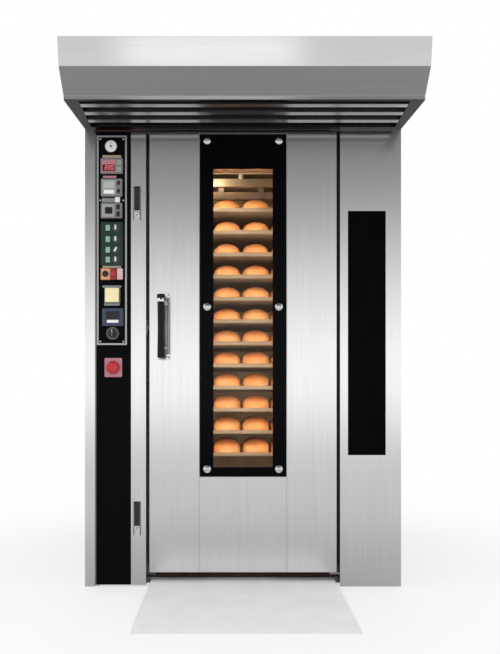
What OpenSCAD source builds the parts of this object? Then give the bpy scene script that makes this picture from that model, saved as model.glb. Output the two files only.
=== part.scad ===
// Rotating rack oven: a steel casing with an insulated baking chamber, a turntable with a tray rack,
// a hinged glazed door, a service door that carries the controls, an extractor hood and a ramp.
// Millimetres, +Z up. The origin is where the turntable's axis meets the ground, and -Y is the front.

$fn = 40;

/* [Casing] */
// Width over the side panels
body_w = 1430; // [1410:5:1460]
// Height of the casing above the hood's underside
loft_h = 190; // [170:5:330]
// Front plane to the turntable's axis
front_d = 540; // [530:5:600]
// Turntable's axis to the rear panel
rear_d = 1100; // [1080:10:1300]
// Sheet steel of the casing
sheet = 2; // [1.5:0.5:3]
// Height of the base frame
base_h = 20; // [16:1:24]
// Width of a base frame bar
base_bar_w = 60; // [40:5:80]
// Thickness of the oven floor
floor_t = 6; // [5:1:10]
// Depth of the fixed edge strip beside the service door
post_d = 42; // [30:1:60]
// Width of that strip
post_w = 45; // [35:1:50]

// Width of the black plate on the right column
badge_w = 170; // [120:5:200]
// Height of that plate
badge_h = 1104; // [800:8:1200]
// Lower edge of that plate above the ground
badge_z = 595; // [500:5:700]
// How far it lies left of the column's middle
badge_shift = 17; // [0:1:20]
// Thickness of that plate
badge_t = 3; // [2:0.5:5]

/* [Chamber] */
// Clear width of the baking chamber
chamber_w = 900; // [890:5:940]
// Turntable's axis to the chamber's rear wall
chamber_back = 450; // [440:5:480]
// Width of the air duct beside the chamber
duct_w = 50; // [40:2:60]
// Thickness of the chamber's lining
liner_t = 2; // [1.5:0.5:3]
// Clearance between the casing and its insulation
casing_gap = 4; // [2:1:10]
// Thickness of the rear insulation
rear_wool_t = 96; // [60:4:140]
// Air slots in one side wall
slot_count = 14; // [6:1:18]

/* [Oven door] */
// Width of the door leaf
door_w = 846; // [830:2:850]
// Thickness of the door leaf
door_t = 90; // [70:2:110]
// Lower edge of the door above the ground
door_bottom = 65; // [55:1:80]
// Upper edge of the door above the ground
door_top = 2060; // [2040:5:2080]
// Gap between the leaf and each column
door_gap = 16; // [12:1:20]
// Pivot's distance from the door's edge and from its face
pivot_inset = 14; // [12:1:18]
// Radius of the door's pivot pins
pivot_r = 8; // [5:1:9]
// Seam between the face panels
seam = 2; // [1:0.5:3]
// Thickness of the silicone seal
seal_t = 14; // [10:1:20]
// Width of the seal strip
seal_w = 20; // [12:1:30]
// Depth of the stop that the seal closes on
stop_d = 40; // [30:1:50]
// Width of that stop
stop_w = 64; // [50:1:74]

/* [Window] */
// Width of the black border pane
pane_w = 396; // [380:2:410]
// Lower edge of the border pane
pane_bottom = 496; // [480:2:520]
// Upper edge of the border pane
pane_top = 2048; // [2000:2:2050]
// Width of the border at the sides
border_w = 64; // [56:1:70]
// Height of the border at its foot
border_bottom = 46; // [40:1:60]
// Height of the border at its head
border_top = 160; // [120:2:180]
// Thickness of the panes
pane_t = 6; // [4:1:8]
// Middle caps above the pane's lower edge
cap_mid = 769; // [700:5:850]
// Radius of the fixing caps
cap_r = 17; // [8:1:18]

/* [Handle and latch] */
// Height of the handle's middle
handle_z = 1175; // [1100:5:1250]
// Height of the handle's back plate
handle_h = 300; // [260:5:340]
// Grip's middle from the leaf's left edge
grip_in = 57; // [50:1:70]
// Grip's middle in front of the door
grip_out = 50; // [44:1:60]
// Radius of the grip
grip_r = 17; // [14:1:20]
// Size of the square latch bolt
bolt_s = 20; // [14:1:24]
// How far the bolt stands out of the leaf
bolt_out = 10; // [6:1:11]

/* [Service door] */
// Gap between the service door and the edge strip
service_gap = 3; // [3:0.5:5]
// Depth of the service door's folded edge
service_d = 25; // [20:1:30]
// Width of the steel strip between the control panel and the oven door
lock_strip_w = 68; // [62:1:80]
// Thickness of the control panel
panel_t = 2; // [1.5:0.5:3]
// Radius of the service door's hinge pins
service_pin_r = 3; // [2:0.5:3]
// Middle height of the upper lock
lock_high_z = 1735; // [1650:5:1800]
// Middle height of the lower lock
lock_low_z = 309; // [250:5:400]
// Width of a lock
lock_w = 34; // [28:1:38]
// Height of a lock
lock_h = 154; // [140:1:170]

/* [Controls] */
// How far the column of controls lies left of the panel's middle
controls_shift = 6; // [0:1:9]
// Travel of the push buttons
push_travel = 3; // [2:0.5:3]
// Radius of the button and switch stems
stem_r = 4; // [3:0.5:5]
// Radius of the emergency stop's mushroom head
stop_head_r = 29; // [24:1:32]

/* [Hood] */
// How far the hood reaches in front of the door
hood_d = 380; // [340:5:420]
// Half width of the hood at its front
hood_half_w = 742; // [738:1:760]
// Height of the hood over its underside
hood_h = 208; // [190:2:240]
// Distance of the lower lip in front of the door
lip_d = 283; // [260:1:300]
// Height of the lip
lip_h = 16; // [10:1:24]
// Height of the front band
fascia_h = 108; // [90:1:120]
// Lean of the front band
fascia_lean = 20; // [10:1:30]
// Width of a grease slat
slat_w = 28; // [20:1:34]
// Closed margin at each end of the slats
vent_margin = 33; // [20:1:50]
// Slats in the underside
slat_count = 3; // [2:1:3]
// Distance from slat to slat
slat_pitch = 75; // [65:1:80]

/* [Rack] */
// Length of a tray along the front
tray_w = 600; // [580:5:610]
// Depth of a tray from front to back
tray_d = 400; // [380:5:410]
// Height of a tray's rim
tray_h = 18; // [14:1:24]
// Wall of a tray
tray_t = 2; // [1.5:0.5:3]
// Height of the lowest tray
tray_first_z = 230; // [226:2:260]
// Distance from tray to tray
tray_pitch = 112; // [108:1:113]
// Number of trays
tray_count = 15; // [8:1:15]
// Lowest trays left empty
tray_empty = 3; // [0:1:5]
// Loaves on a tray
loaf_count = 4; // [2:1:4]
// Length of a loaf
loaf_l = 350; // [300:5:380]
// Gap between loaves
loaf_gap = 3; // [1:0.5:6]
// Square tube of the rack
rack_tube = 25; // [20:1:30]
// Height of the rack's upper frame
rack_top_h = 37; // [30:1:44]
// Lower edge of the rack's upper frame
rack_top_z = 1918; // [1910:1:1925]
// Width of a runner angle
runner_w = 27; // [20:1:32]

/* [Turntable and drive] */
// Radius of the turntable
table_r = 420; // [405:5:425]
// Thickness of the turntable
table_t = 8; // [6:1:12]
// Radius of the turntable's hub
hub_r = 30; // [22:1:36]
// Radius of the drive shaft
shaft_r = 20; // [15:1:24]
// Radius of a rack castor
castor_r = 37.5; // [34:0.5:39]
// Width of a rack castor
castor_w = 26; // [20:1:30]
// Castor axle's distance behind its kingpin
castor_trail = 20; // [14:1:22]
// Castor's middle from the rack's middle, along the front
castor_x = 300; // [285:1:304]
// Castor's middle from the rack's middle, front to back
castor_y = 185; // [170:1:190]

/* [Air and fire] */
// Radius of the circulation fan
fan_r = 200; // [160:5:220]
// Distance of the fan behind the turntable's axis
fan_y = 730; // [700:5:760]
// Radius of the flue above the roof
flue_r = 100; // [80:2:110]
// Radius of the steam vent
vent_r = 75; // [60:1:90]
// Height of both pipes above the roof
pipe_h = 290; // [240:5:340]
// Radius of the firebox drum
drum_r = 180; // [150:5:200]
// Height of the firebox drum's axis
drum_z = 520; // [480:5:600]
// Radius of the water inlet nipple
nipple_r = 10.5; // [8:0.5:14]

/* [Ramp] */
// Width of the ramp
ramp_w = 836; // [800:2:850]
// How far the ramp reaches in front of the door
ramp_d = 636; // [560:4:700]
// Thickness of the ramp's plate
ramp_t = 4; // [3:1:6]

/* [Hidden] */

fit = 0.05;          // radial clearance of a shaft or pin in its bore
seat = 0.3;          // clearance of a moving piece from what it rests on
hub_drop = 8;        // the turntable's hub reaches this far into the base frame
weld = 0.1;          // hairline between welded sheets, which keeps each a solid of its own
foot_gap = 1;        // casing sheets end this far above the ground

// Casing planes
half_w = body_w / 2;
front_y = -front_d;
rear_y = rear_d;
side_in = half_w - sheet;
column_x = door_w / 2 + door_gap;
jamb_x = chamber_w / 2 + duct_w;
wool_x = side_in - casing_gap;
floor_z = base_h + floor_t;
head_z = door_top + 2;
head_t = 8;
under_z = head_z + head_t;
body_h = under_z + loft_h;
stop_y = front_y + door_t + seal_t + seat;
chamber_y = stop_y + stop_d;
wool_top = body_h - 20;
wool_rear_y = rear_y - sheet - 2;
bay_rear_y = wool_rear_y - rear_wool_t;
cabinet_y = front_y + 210;

// Door planes
door_x = door_w / 2;
skin_y = front_y + sheet;
back_y = front_y + door_t;
pivot_x = door_x - pivot_inset;
pivot_y = front_y + pivot_inset;
pane_x = pane_w / 2;
glass_x = pane_x - border_w;
glass_z0 = pane_bottom + border_bottom;
glass_z1 = pane_top - border_top;
aperture = 9;        // the leaf's opening is this much larger than the clear glass
hole_x = glass_x + aperture;
hole_z0 = glass_z0 - aperture;
hole_z1 = glass_z1 + aperture;
core_wall = 2;
plug_h = 60;

// Service door planes
service_x0 = -half_w + post_w + service_gap;
service_x1 = -column_x;
service_z0 = 8;
service_z1 = head_z - 2;
service_pin_x = service_x0 + 10;
service_pin_y = front_y + sheet + service_pin_r + 1;
panel_x0 = service_x0 + 2;
panel_x1 = service_x1 - lock_strip_w;
panel_w = panel_x1 - panel_x0;
controls_x = (panel_x0 + panel_x1) / 2 - controls_shift;
panel_y = front_y - panel_t;
lock_x = (panel_x1 + service_x1) / 2 - 6;

// Rack planes
table_z = floor_z + 2;
table_top = table_z + table_t;
runner_t = 3;
rail_x = tray_w / 2 + 2;
post_x = rail_x + runner_t;
rack_x = post_x + rack_tube;
rack_y = tray_d / 2 + 20;
rack_foot_z = 150;
rack_top = rack_top_z + rack_top_h;
wheel_z = table_top + seat + castor_r;
loaf_w = (tray_w - 2 * tray_t - 2 * loaf_gap) / loaf_count - loaf_gap;
fork_z = rack_top + 20;

// Roof planes
roof_z = body_h + sheet;
pipe_flange = 4;
gear_z = roof_z + 78;
gear_h = 120;
gear_w = 150;
flue_x = 330;
flue_y = 860;
vent_x = -250;
vent_y = 230;
damper_z = roof_z + 45;
collar_z = damper_z + 60;
fan_z = head_z - 170;
fan_shaft_r = 12;
top_drum_z = 1560;

steel = [0.80, 0.80, 0.79];
dark_steel = [0.42, 0.43, 0.45];
black = [0.03, 0.03, 0.035];

// A box from its lowest to its highest corner
module block(low, high) {
    translate(low) cube(high - low);
}

// The same box left and right of the middle
module mirrored_x() {
    children();
    mirror([1, 0, 0]) children();
}

// A section drawn in Y and Z, run along X from x0 to x1
module prism_x(section, x0, x1) {
    translate([x0, 0, 0]) rotate([90, 0, 90]) linear_extrude(x1 - x0) polygon(section);
}

// A round bar along Y from y0 to y1
module rod_y(x, z, r, y0, y1) {
    translate([x, y1, z]) rotate([90, 0, 0]) cylinder(r = r, h = y1 - y0);
}

// A round bar along X from x0 to x1
module rod_x(y, z, r, x0, x1) {
    translate([x0, y, z]) rotate([0, 90, 0]) cylinder(r = r, h = x1 - x0);
}

// A round bar along Z from z0 to z1
module rod_z(x, y, r, z0, z1) {
    translate([x, y, z0]) cylinder(r = r, h = z1 - z0);
}

// A pipe along Z
module pipe_z(x, y, r_out, r_in, z0, z1) {
    difference() {
        rod_z(x, y, r_out, z0, z1);
        rod_z(x, y, r_in, z0 - 1, z1 + 1);
    }
}

// ---------------------------------------------------------------- casing

// Base frame: two long bars under the side walls and four cross bars that carry the floor
function cross_bars() = [
    [chamber_y - 75, chamber_y - 25],
    [-60, 60],
    [chamber_back + 30, chamber_back + 80],
    [rear_y - 60, rear_y - 10]
];

module base_frame() {
    bar_x = side_in - 13;
    color(dark_steel) {
        mirrored_x() block([bar_x - base_bar_w, front_y + post_d, 0], [bar_x, rear_y - 10, base_h]);
        for (bar = cross_bars()) difference() {
            block([-bar_x + base_bar_w + weld, bar[0], 0], [bar_x - base_bar_w - weld, bar[1], base_h]);
            rod_z(0, 0, hub_r + 8, base_h - hub_drop - 2, base_h + 1);
        }
    }
}

// Oven floor: a plate between the jambs and walls, bored for the turntable's hub, with a thrust washer
module floor_plate() {
    front = chamber_y - 77.3;
    color([0.62, 0.62, 0.61]) {
        difference() {
            union() {
                block([-column_x, front, base_h], [column_x, chamber_y, floor_z]);
                block([-jamb_x, chamber_y, base_h], [jamb_x, bay_rear_y, floor_z]);
            }
            rod_z(0, 0, hub_r + fit, base_h - 1, floor_z + 1);
        }
        pipe_z(0, 0, hub_r + 32, hub_r + 4, floor_z, table_z - seat);
    }
}

module side_panels() {
    color(steel) {
        block([-half_w, front_y + post_d, foot_gap], [-side_in, rear_y, body_h]);
        block([side_in, skin_y, foot_gap], [half_w, rear_y, body_h]);
    }
}

// Rear panel: closed by two banks of cooling slots, holes for the burner and the water nipple
burner_tube_r = 60;
water_x = jamb_x - 24;
water_z = 1300;

module rear_panel() {
    louvre_w = 220;
    color(steel) difference() {
        block([-side_in, rear_y - sheet, foot_gap], [side_in, rear_y, body_h]);
        rod_y(0, drum_z, burner_tube_r + 2, rear_y - sheet - 1, rear_y + 1);
        rod_y(water_x, water_z, nipple_r + 1, rear_y - sheet - 1, rear_y + 1);
        for (x = [-360, 360], row = [0 : 7])
            block([x - louvre_w / 2, rear_y - sheet - 1, body_h - 240 + row * 24],
                  [x + louvre_w / 2, rear_y + 1, body_h - 232 + row * 24]);
    }
}

// Roof panel: one sheet with holes for the shafts, the pipes and the mains gland
gland_x = -half_w + 105;
gland_y = front_y + 140;
gland_r = 12;

module roof_panel() {
    color(steel) difference() {
        block([-half_w, front_y, body_h], [half_w, rear_y, roof_z]);
        rod_z(0, 0, shaft_r + 6, body_h - 1, roof_z + 1);
        rod_z(flue_x, flue_y, flue_r - 8, body_h - 1, roof_z + 1);
        rod_z(vent_x, vent_y, vent_r + fit, body_h - 1, roof_z + 1);
        rod_z(0, fan_y, fan_shaft_r + 4, body_h - 1, roof_z + 1);
        rod_z(gland_x, gland_y, gland_r, body_h - 1, roof_z + 1);
    }
}

// Fixed edge strip: a square tube with the service door's hinge lugs and pins
module left_front_post() {
    lug_x = service_pin_x + 7;
    pin_l = 26;
    color(steel) difference() {
        block([-half_w, front_y, foot_gap], [-half_w + post_w, front_y + post_d, under_z]);
        block([-half_w + sheet, front_y + sheet, foot_gap - 1],
              [-half_w + post_w - sheet, front_y + post_d - sheet, under_z + 1]);
    }
    color(dark_steel) {
        for (z = [service_z0 - 5, service_z1 + 1])
            block([-half_w + post_w + weld, service_pin_y - 4, z], [lug_x, service_pin_y + 12, z + 4]);
        rod_z(service_pin_x, service_pin_y, service_pin_r, service_z0 - 1 + weld, service_z0 + pin_l);
        rod_z(service_pin_x, service_pin_y, service_pin_r, service_z1 - pin_l, service_z1 + 1 - weld);
    }
}

module right_front_panel() {
    color(steel)
        block([column_x, front_y, foot_gap], [half_w, skin_y, under_z]);
}

// Plain black plate on the right column
module badge_plate() {
    x = (column_x + half_w) / 2 - badge_shift;
    color(black)
        block([x - badge_w / 2, front_y - badge_t, badge_z], [x + badge_w / 2, front_y, badge_z + badge_h]);
}

// A box tube that runs along Z, with walls of sheet steel
module tube_z(low, high) {
    difference() {
        block(low, high);
        block([low[0] + core_wall, low[1] + core_wall, low[2] - 1],
              [high[0] - core_wall, high[1] - core_wall, high[2] + 1]);
    }
}

// Door surround: jambs, stops, lintel, head plates, pivot pins with their lower bracket, and the keeper
keeper_t = 3;

module door_surround() {
    left_y = front_y + service_d + 3;
    pin_l = 22;
    bracket_t = 9;
    head_recess = 30;
    cover_z = under_z - sheet;
    top = head_z - weld;
    color(steel) {
        tube_z([column_x, skin_y, base_h], [jamb_x, chamber_y, top]);
        tube_z([-jamb_x, left_y, base_h], [-column_x, chamber_y, top]);
        mirrored_x()
            block([column_x - stop_w, stop_y, floor_z], [column_x - weld, chamber_y, top]);
        block([-column_x + stop_w + weld, stop_y, head_z - 42], [column_x - stop_w - weld, chamber_y, top]);
        block([-jamb_x, skin_y, cover_z], [jamb_x, chamber_y, under_z - weld]);
        block([-jamb_x, skin_y + head_recess, head_z], [jamb_x, chamber_y, cover_z - weld]);
        block([pivot_x - 14, skin_y, head_z], [jamb_x, skin_y + head_recess - weld, cover_z - weld]);
        block([-half_w, front_y, under_z], [half_w, skin_y, body_h]);
    }
    color(dark_steel) {
        rod_z(pivot_x, pivot_y, pivot_r, door_top - pin_l, top);
        rod_z(pivot_x, pivot_y, pivot_r, door_bottom - seat, door_bottom + pin_l);
        block([pivot_x - 14, pivot_y - 10, door_bottom - seat - bracket_t],
              [column_x - weld, pivot_y + 14, door_bottom - seat - weld]);
        block([-column_x + weld, back_y - 60, handle_z - 35],
              [-column_x + keeper_t, back_y - 20, handle_z + 35]);
    }
}

// Ramp: a plate that rises from the ground to the oven floor, on three ribs
module ramp() {
    y0 = front_y - ramp_d;
    y1 = chamber_y - 77.3;
    nose = 3;
    slope = (floor_z - nose) / (y1 - y0);
    y_cut = y0 + (ramp_t - nose) / slope;
    color([0.86, 0.87, 0.88]) {
        prism_x([[y0, 0], [y0, nose], [y1, floor_z], [y1, floor_z - ramp_t], [y_cut, 0]],
                -ramp_w / 2, ramp_w / 2);
        for (x = [-ramp_w / 2 + 12, -3, ramp_w / 2 - 18])
            prism_x([[y_cut + 3, 0], [y1, floor_z - ramp_t - weld], [y1, 0]], x, x + 6);
    }
}

// ---------------------------------------------------------------- chamber

// Lining: two slotted side walls, a rear wall with a return air opening, and a ceiling
module chamber_liner() {
    x0 = chamber_w / 2;
    slot_step = (head_z - floor_z - 240) / slot_count;
    color([0.55, 0.54, 0.52]) {
        mirrored_x() difference() {
            block([x0, chamber_y, floor_z], [x0 + liner_t, chamber_back + liner_t, head_z]);
            for (i = [0 : slot_count - 1])
                block([x0 - 1, -200, floor_z + 140 + i * slot_step],
                      [x0 + liner_t + 1, 200, floor_z + 152 + i * slot_step]);
        }
        difference() {
            block([-x0 + weld, chamber_back, floor_z], [x0 - weld, chamber_back + liner_t, head_z]);
            for (i = [0 : 5])
                block([-300, chamber_back - 1, head_z - 260 + i * 30],
                      [300, chamber_back + liner_t + 1, head_z - 248 + i * 30]);
        }
        difference() {
            block([-jamb_x, chamber_y, head_z + weld], [jamb_x, bay_rear_y, head_z + liner_t]);
            rod_z(0, 0, shaft_r + 3, head_z - 1, head_z + liner_t + 1);
            rod_z(flue_x, flue_y, flue_r - 8, head_z - 1, head_z + liner_t + 1);
            rod_z(vent_x, vent_y, vent_r - 3, head_z - 1, head_z + liner_t + 1);
            rod_z(0, fan_y, fan_shaft_r + 2, head_z - 1, head_z + liner_t + 1);
        }
    }
}

// Mineral wool slabs: left, right, rear, above the chamber and above the door
module insulation() {
    top_z = head_z + liner_t;
    color([0.78, 0.72, 0.50]) {
        block([-wool_x, cabinet_y, base_h], [-jamb_x, wool_rear_y, wool_top]);
        block([jamb_x, front_y + 40, base_h], [wool_x, wool_rear_y, wool_top]);
        difference() {
            block([-jamb_x + weld, bay_rear_y, base_h], [jamb_x - weld, wool_rear_y, wool_top]);
            rod_y(0, drum_z, burner_tube_r + 12, bay_rear_y - 1, wool_rear_y + 1);
            rod_y(water_x, water_z, nipple_r + 1, bay_rear_y - 1, wool_rear_y + 1);
        }
        difference() {
            block([-jamb_x + weld, chamber_y, top_z], [jamb_x - weld, bay_rear_y - weld, wool_top]);
            rod_z(0, 0, shaft_r + 8, top_z - 1, wool_top + 1);
            rod_z(flue_x, flue_y, flue_r - 8, top_z - 1, wool_top + 1);
            rod_z(vent_x, vent_y, vent_r + 2, top_z - 1, wool_top + 1);
            rod_z(0, fan_y, fan_shaft_r + 4, top_z - 1, wool_top + 1);
        }
        block([-jamb_x + weld, skin_y, under_z], [jamb_x - weld, chamber_y - weld, wool_top]);
    }
}

// Heat exchanger: firebox drum with the burner port, a bank of tubes, the upper drum and the flue stub
module heat_exchanger() {
    drum_y = (chamber_back + bay_rear_y) / 2 + 10;
    drum_x = jamb_x - 80;
    tube_r = 26;
    upper_r = drum_r - 60;
    wall = 4;
    color([0.48, 0.40, 0.36]) difference() {
        union() {
            rod_x(drum_y, drum_z, drum_r, -drum_x, drum_x);
            rod_x(drum_y, top_drum_z, upper_r, -drum_x, drum_x);
            for (i = [-2 : 2], row = [-1, 1])
                rod_z(i * 160, drum_y + row * 60, tube_r, drum_z, top_drum_z);
            rod_z(flue_x, flue_y, flue_r - 10, top_drum_z, head_z - 60);
            rod_y(0, drum_z, burner_tube_r + 10, drum_y, bay_rear_y);
            for (x = [-drum_x + 40, drum_x - 60])
                block([x, drum_y - 60, floor_z], [x + 20, drum_y + 60, drum_z]);
        }
        rod_x(drum_y, drum_z, drum_r - wall, -drum_x + wall, drum_x - wall);
        rod_x(drum_y, top_drum_z, upper_r - wall, -drum_x + wall, drum_x - wall);
        for (i = [-2 : 2], row = [-1, 1])
            rod_z(i * 160, drum_y + row * 60, tube_r - wall, drum_z, top_drum_z);
        rod_y(0, drum_z, burner_tube_r + 2, drum_y, bay_rear_y + 1);
        rod_z(flue_x, flue_y, flue_r - 13, top_drum_z, head_z);
    }
}

// Burner: blast tube, flange, blower body and motor
module burner() {
    tube_end = bay_rear_y - 120;
    body_y = rear_y + 8;
    color([0.30, 0.33, 0.38]) {
        difference() {
            union() {
                rod_y(0, drum_z, burner_tube_r, tube_end, rear_y + 4);
                rod_y(0, drum_z, burner_tube_r + 40, rear_y, body_y);
            }
            rod_y(0, drum_z, burner_tube_r - 4, tube_end - 1, rear_y - 4);
        }
        block([-110, body_y, drum_z - 95], [110, body_y + 190, drum_z + 95]);
    }
    color(black) rod_x(body_y + 95, drum_z, 55, 110, 200);
}

// Flue and steam vent: each a pipe through the roof with a flange; the vent has the damper's bores
module flue_and_vent_pipes() {
    top = roof_z + pipe_h;
    flange_top = roof_z + pipe_flange;
    damper_pin = 5;
    flue_bore = flue_r - 13;
    boss_end = vent_r + 8;
    color([0.70, 0.70, 0.70]) {
        pipe_z(flue_x, flue_y, flue_r - 10, flue_bore, head_z - 60, flange_top - weld);
        pipe_z(flue_x, flue_y, flue_r + 30, flue_r - 10 + weld, roof_z, flange_top - weld);
        pipe_z(flue_x, flue_y, flue_r, flue_bore, flange_top, top);
        pipe_z(vent_x, vent_y, vent_r + 25, vent_r + weld, roof_z, flange_top);
        difference() {
            union() {
                pipe_z(vent_x, vent_y, vent_r, vent_r - 3, head_z + liner_t, top);
                pipe_z(vent_x, vent_y, vent_r + 6, vent_r - 1, collar_z, collar_z + 6);
                difference() {
                    rod_x(vent_y, damper_z, 12, vent_x - boss_end, vent_x + boss_end);
                    rod_z(vent_x, vent_y, vent_r + weld, damper_z - 13, damper_z + 13);
                }
            }
            rod_x(vent_y, damper_z, damper_pin + fit, vent_x - boss_end - 1, vent_x + boss_end + 1);
        }
    }
}

// Damper: a round flap on a cross pin, with its hand lever outside the pipe
module vent_damper() {
    pin_r = 5;
    lever_x = vent_x - vent_r - 14;
    color([0.55, 0.56, 0.57]) {
        rod_z(vent_x, vent_y, vent_r - 5, damper_z - 1.5, damper_z + 1.5);
        rod_x(vent_y, damper_z, pin_r, lever_x, vent_x + vent_r + 12);
        block([lever_x - 4, vent_y - 12, damper_z - 6], [lever_x, vent_y + 90, damper_z + 6]);
    }
}

// Steam generator: water runs down a cascade of steel bars between two plates in the right duct
module steam_generator() {
    x0 = chamber_w / 2 + liner_t + 4;
    x1 = jamb_x - 4;
    bar_r = 12;
    z0 = 250;
    half_l = 260;
    color([0.50, 0.48, 0.46]) {
        for (y = [-half_l, half_l])
            block([x0, y - 3, floor_z], [x1, y + 3, water_z + 40]);
        for (i = [0 : 11])
            rod_y((x0 + x1) / 2, z0 + i * 80, bar_r, -half_l + 3, half_l - 3);
    }
    color([0.70, 0.60, 0.35]) {
        rod_y(water_x, water_z, nipple_r - 2, half_l + 3, rear_y + 2);
        rod_y(water_x, water_z, nipple_r, rear_y + 2, rear_y + 32);
    }
}

// Fan housing: a ring round the impeller with an inlet below and an outlet on each side
module fan_housing() {
    r_out = fan_r + 24;
    color([0.60, 0.60, 0.60]) difference() {
        rod_z(0, fan_y, r_out, fan_z - 30, head_z);
        rod_z(0, fan_y, r_out - 3, fan_z - 27, head_z - 3);
        rod_z(0, fan_y, fan_r - 60, fan_z - 31, fan_z - 26);
        rod_z(0, fan_y, fan_shaft_r + 2, head_z - 4, head_z + 1);
        block([-r_out - 1, fan_y - 70, fan_z], [r_out + 1, fan_y + 70, fan_z + 110]);
    }
}

// Impeller: back plate, hub, twelve blades, an inlet ring and the shaft up into the motor
module fan_impeller() {
    blades = 12;
    blade_h = 90;
    color([0.58, 0.59, 0.60]) {
        rod_z(0, fan_y, fan_r, fan_z + blade_h, fan_z + blade_h + 4);
        for (i = [0 : blades - 1]) translate([0, fan_y, 0]) rotate([0, 0, i * 360 / blades])
            block([fan_r * 0.55, -1.5, fan_z], [fan_r - 2, 1.5, fan_z + blade_h - weld]);
        rod_z(0, fan_y, 32, fan_z + 40, fan_z + blade_h - weld);
        rod_z(0, fan_y, fan_shaft_r, fan_z + blade_h + 4 + weld, roof_z + 120);
        pipe_z(0, fan_y, fan_r - 2, fan_r - 20, fan_z - 3, fan_z - weld);
    }
}

// Fan motor on its stool above the roof
module fan_motor() {
    stool_z = roof_z + 60;
    motor_r = 85;
    color([0.25, 0.35, 0.42]) {
        difference() {
            union() {
                rod_z(0, fan_y, motor_r, stool_z + 8 + weld, stool_z + 230);
                block([-110, fan_y - 110, stool_z], [110, fan_y + 110, stool_z + 8]);
            }
            rod_z(0, fan_y, fan_shaft_r + fit, stool_z - 1, roof_z + 122);
        }
        for (x = [-1, 1])
            block([x * 104 - 6, fan_y - 110, roof_z], [x * 104 + 6, fan_y + 110, stool_z - weld]);
    }
}

// ---------------------------------------------------------------- hood

hood_top = under_z + hood_h;
fascia_z = hood_top - fascia_h;
lip_y = front_y - lip_d;
band_y = front_y - hood_d + fascia_lean;
nose_y = front_y - hood_d;
vent_half = half_w - vent_margin;
lip_half = hood_half_w - 1;

// Hood in plan, grown inwards by cut
function hood_plan(cut) = [
    [-half_w + cut, front_y], [-lip_half + cut, lip_y], [-hood_half_w + cut, nose_y],
    [hood_half_w - cut, nose_y], [lip_half - cut, lip_y], [half_w - cut, front_y]
];

// One bent sheet of the hood's front, cut to the plan
module hood_sheet(section) {
    intersection() {
        prism_x(section, -hood_half_w - 1, hood_half_w + 1);
        translate([0, 0, under_z - 1]) linear_extrude(hood_h + 2) polygon(hood_plan(0));
    }
}

// The back of the leaning front band, this far under the hood's top
function band_rear(drop) = nose_y + sheet + weld + fascia_lean * drop / fascia_h;

// Part of the side wall, between its bends
module hood_side(y0, x0, y1, x1) {
    lap = sheet + weld;
    section = [
        [front_y - lap, under_z + lap], [lip_y + lap, under_z + lap],
        [lip_y + lap, under_z + lip_h], [band_y + lap, fascia_z],
        [band_rear(lap), hood_top - lap], [front_y - lap, hood_top - lap]
    ];
    intersection() {
        prism_x(section, 0, hood_half_w + 1);
        translate([0, 0, under_z]) linear_extrude(hood_h)
            polygon([[x0, y0], [x1, y1], [x1 - sheet, y1], [x0 - sheet, y0]]);
    }
}

// Hood: front band, slanted sheet, lip, top, back, side walls and the margins round the slats
module hood_shell() {
    margin = 8;
    lap = sheet + weld;
    lip_z = under_z + lip_h;
    color(steel) {
        hood_sheet([[nose_y, hood_top], [band_y, fascia_z + weld],
                    [band_y + sheet, fascia_z + weld], [nose_y + sheet, hood_top]]);
        hood_sheet([[band_y, fascia_z], [lip_y, lip_z + weld],
                    [lip_y + sheet, lip_z + weld], [band_y + sheet, fascia_z]]);
        hood_sheet([[lip_y, lip_z], [lip_y, under_z], [lip_y + sheet, under_z], [lip_y + sheet, lip_z]]);
        hood_sheet([[band_rear(sheet), hood_top], [band_rear(sheet), hood_top - sheet],
                    [front_y, hood_top - sheet], [front_y, hood_top]]);
        block([-half_w, front_y - sheet, under_z + lap], [half_w, front_y, hood_top - lap]);
        mirrored_x() {
            hood_side(front_y, half_w, lip_y + weld, lip_half);
            hood_side(lip_y, lip_half, nose_y, hood_half_w);
            translate([0, 0, under_z]) linear_extrude(sheet)
                polygon([[vent_half, front_y], [half_w, front_y],
                         [lip_half - 0.2, lip_y + lap], [vent_half, lip_y + lap]]);
        }
        block([-vent_half + weld, lip_y + lap, under_z],
              [vent_half - weld, lip_y + lap + margin, under_z + sheet]);
        block([-vent_half + weld, front_y - 22, under_z], [vent_half - weld, front_y, under_z + sheet]);
    }
}

// Grease slats: upturned channels across the hood's underside
module hood_slats() {
    leg = 20;
    color([0.70, 0.70, 0.69]) for (i = [1 : slat_count]) {
        y = front_y - 7 - i * slat_pitch;
        y0 = y - slat_w / 2;
        y1 = y + slat_w / 2;
        prism_x([[y0, under_z], [y1, under_z], [y1, under_z + leg], [y1 - sheet, under_z + leg],
                 [y1 - sheet, under_z + sheet], [y0 + sheet, under_z + sheet],
                 [y0 + sheet, under_z + leg], [y0, under_z + leg]], -vent_half + weld, vent_half - weld);
    }
}

// ---------------------------------------------------------------- rack drive

// Gearmotor: bearing flange on the roof, two stand plates, gearbox with a hollow shaft and its motor
module rack_gearmotor() {
    half = gear_w / 2;
    color([0.24, 0.36, 0.46]) {
        difference() {
            union() {
                rod_z(0, 0, shaft_r + 28, roof_z, roof_z + 36);
                rod_z(0, 0, shaft_r + 44, roof_z, roof_z + 10);
            }
            rod_z(0, 0, shaft_r + fit, roof_z - 1, roof_z + 37);
        }
        for (x = [-1, 1]) block([x * 70 - 5, -half, roof_z], [x * 70 + 5, half, gear_z - weld]);
        difference() {
            block([-half, -half, gear_z], [half, half, gear_z + gear_h]);
            rod_z(0, 0, shaft_r + fit, gear_z - 1, gear_z + gear_h - 10);
        }
    }
    color([0.30, 0.42, 0.52]) rod_x(0, gear_z + gear_h / 2, 58, half + weld, half + 210);
}

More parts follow.
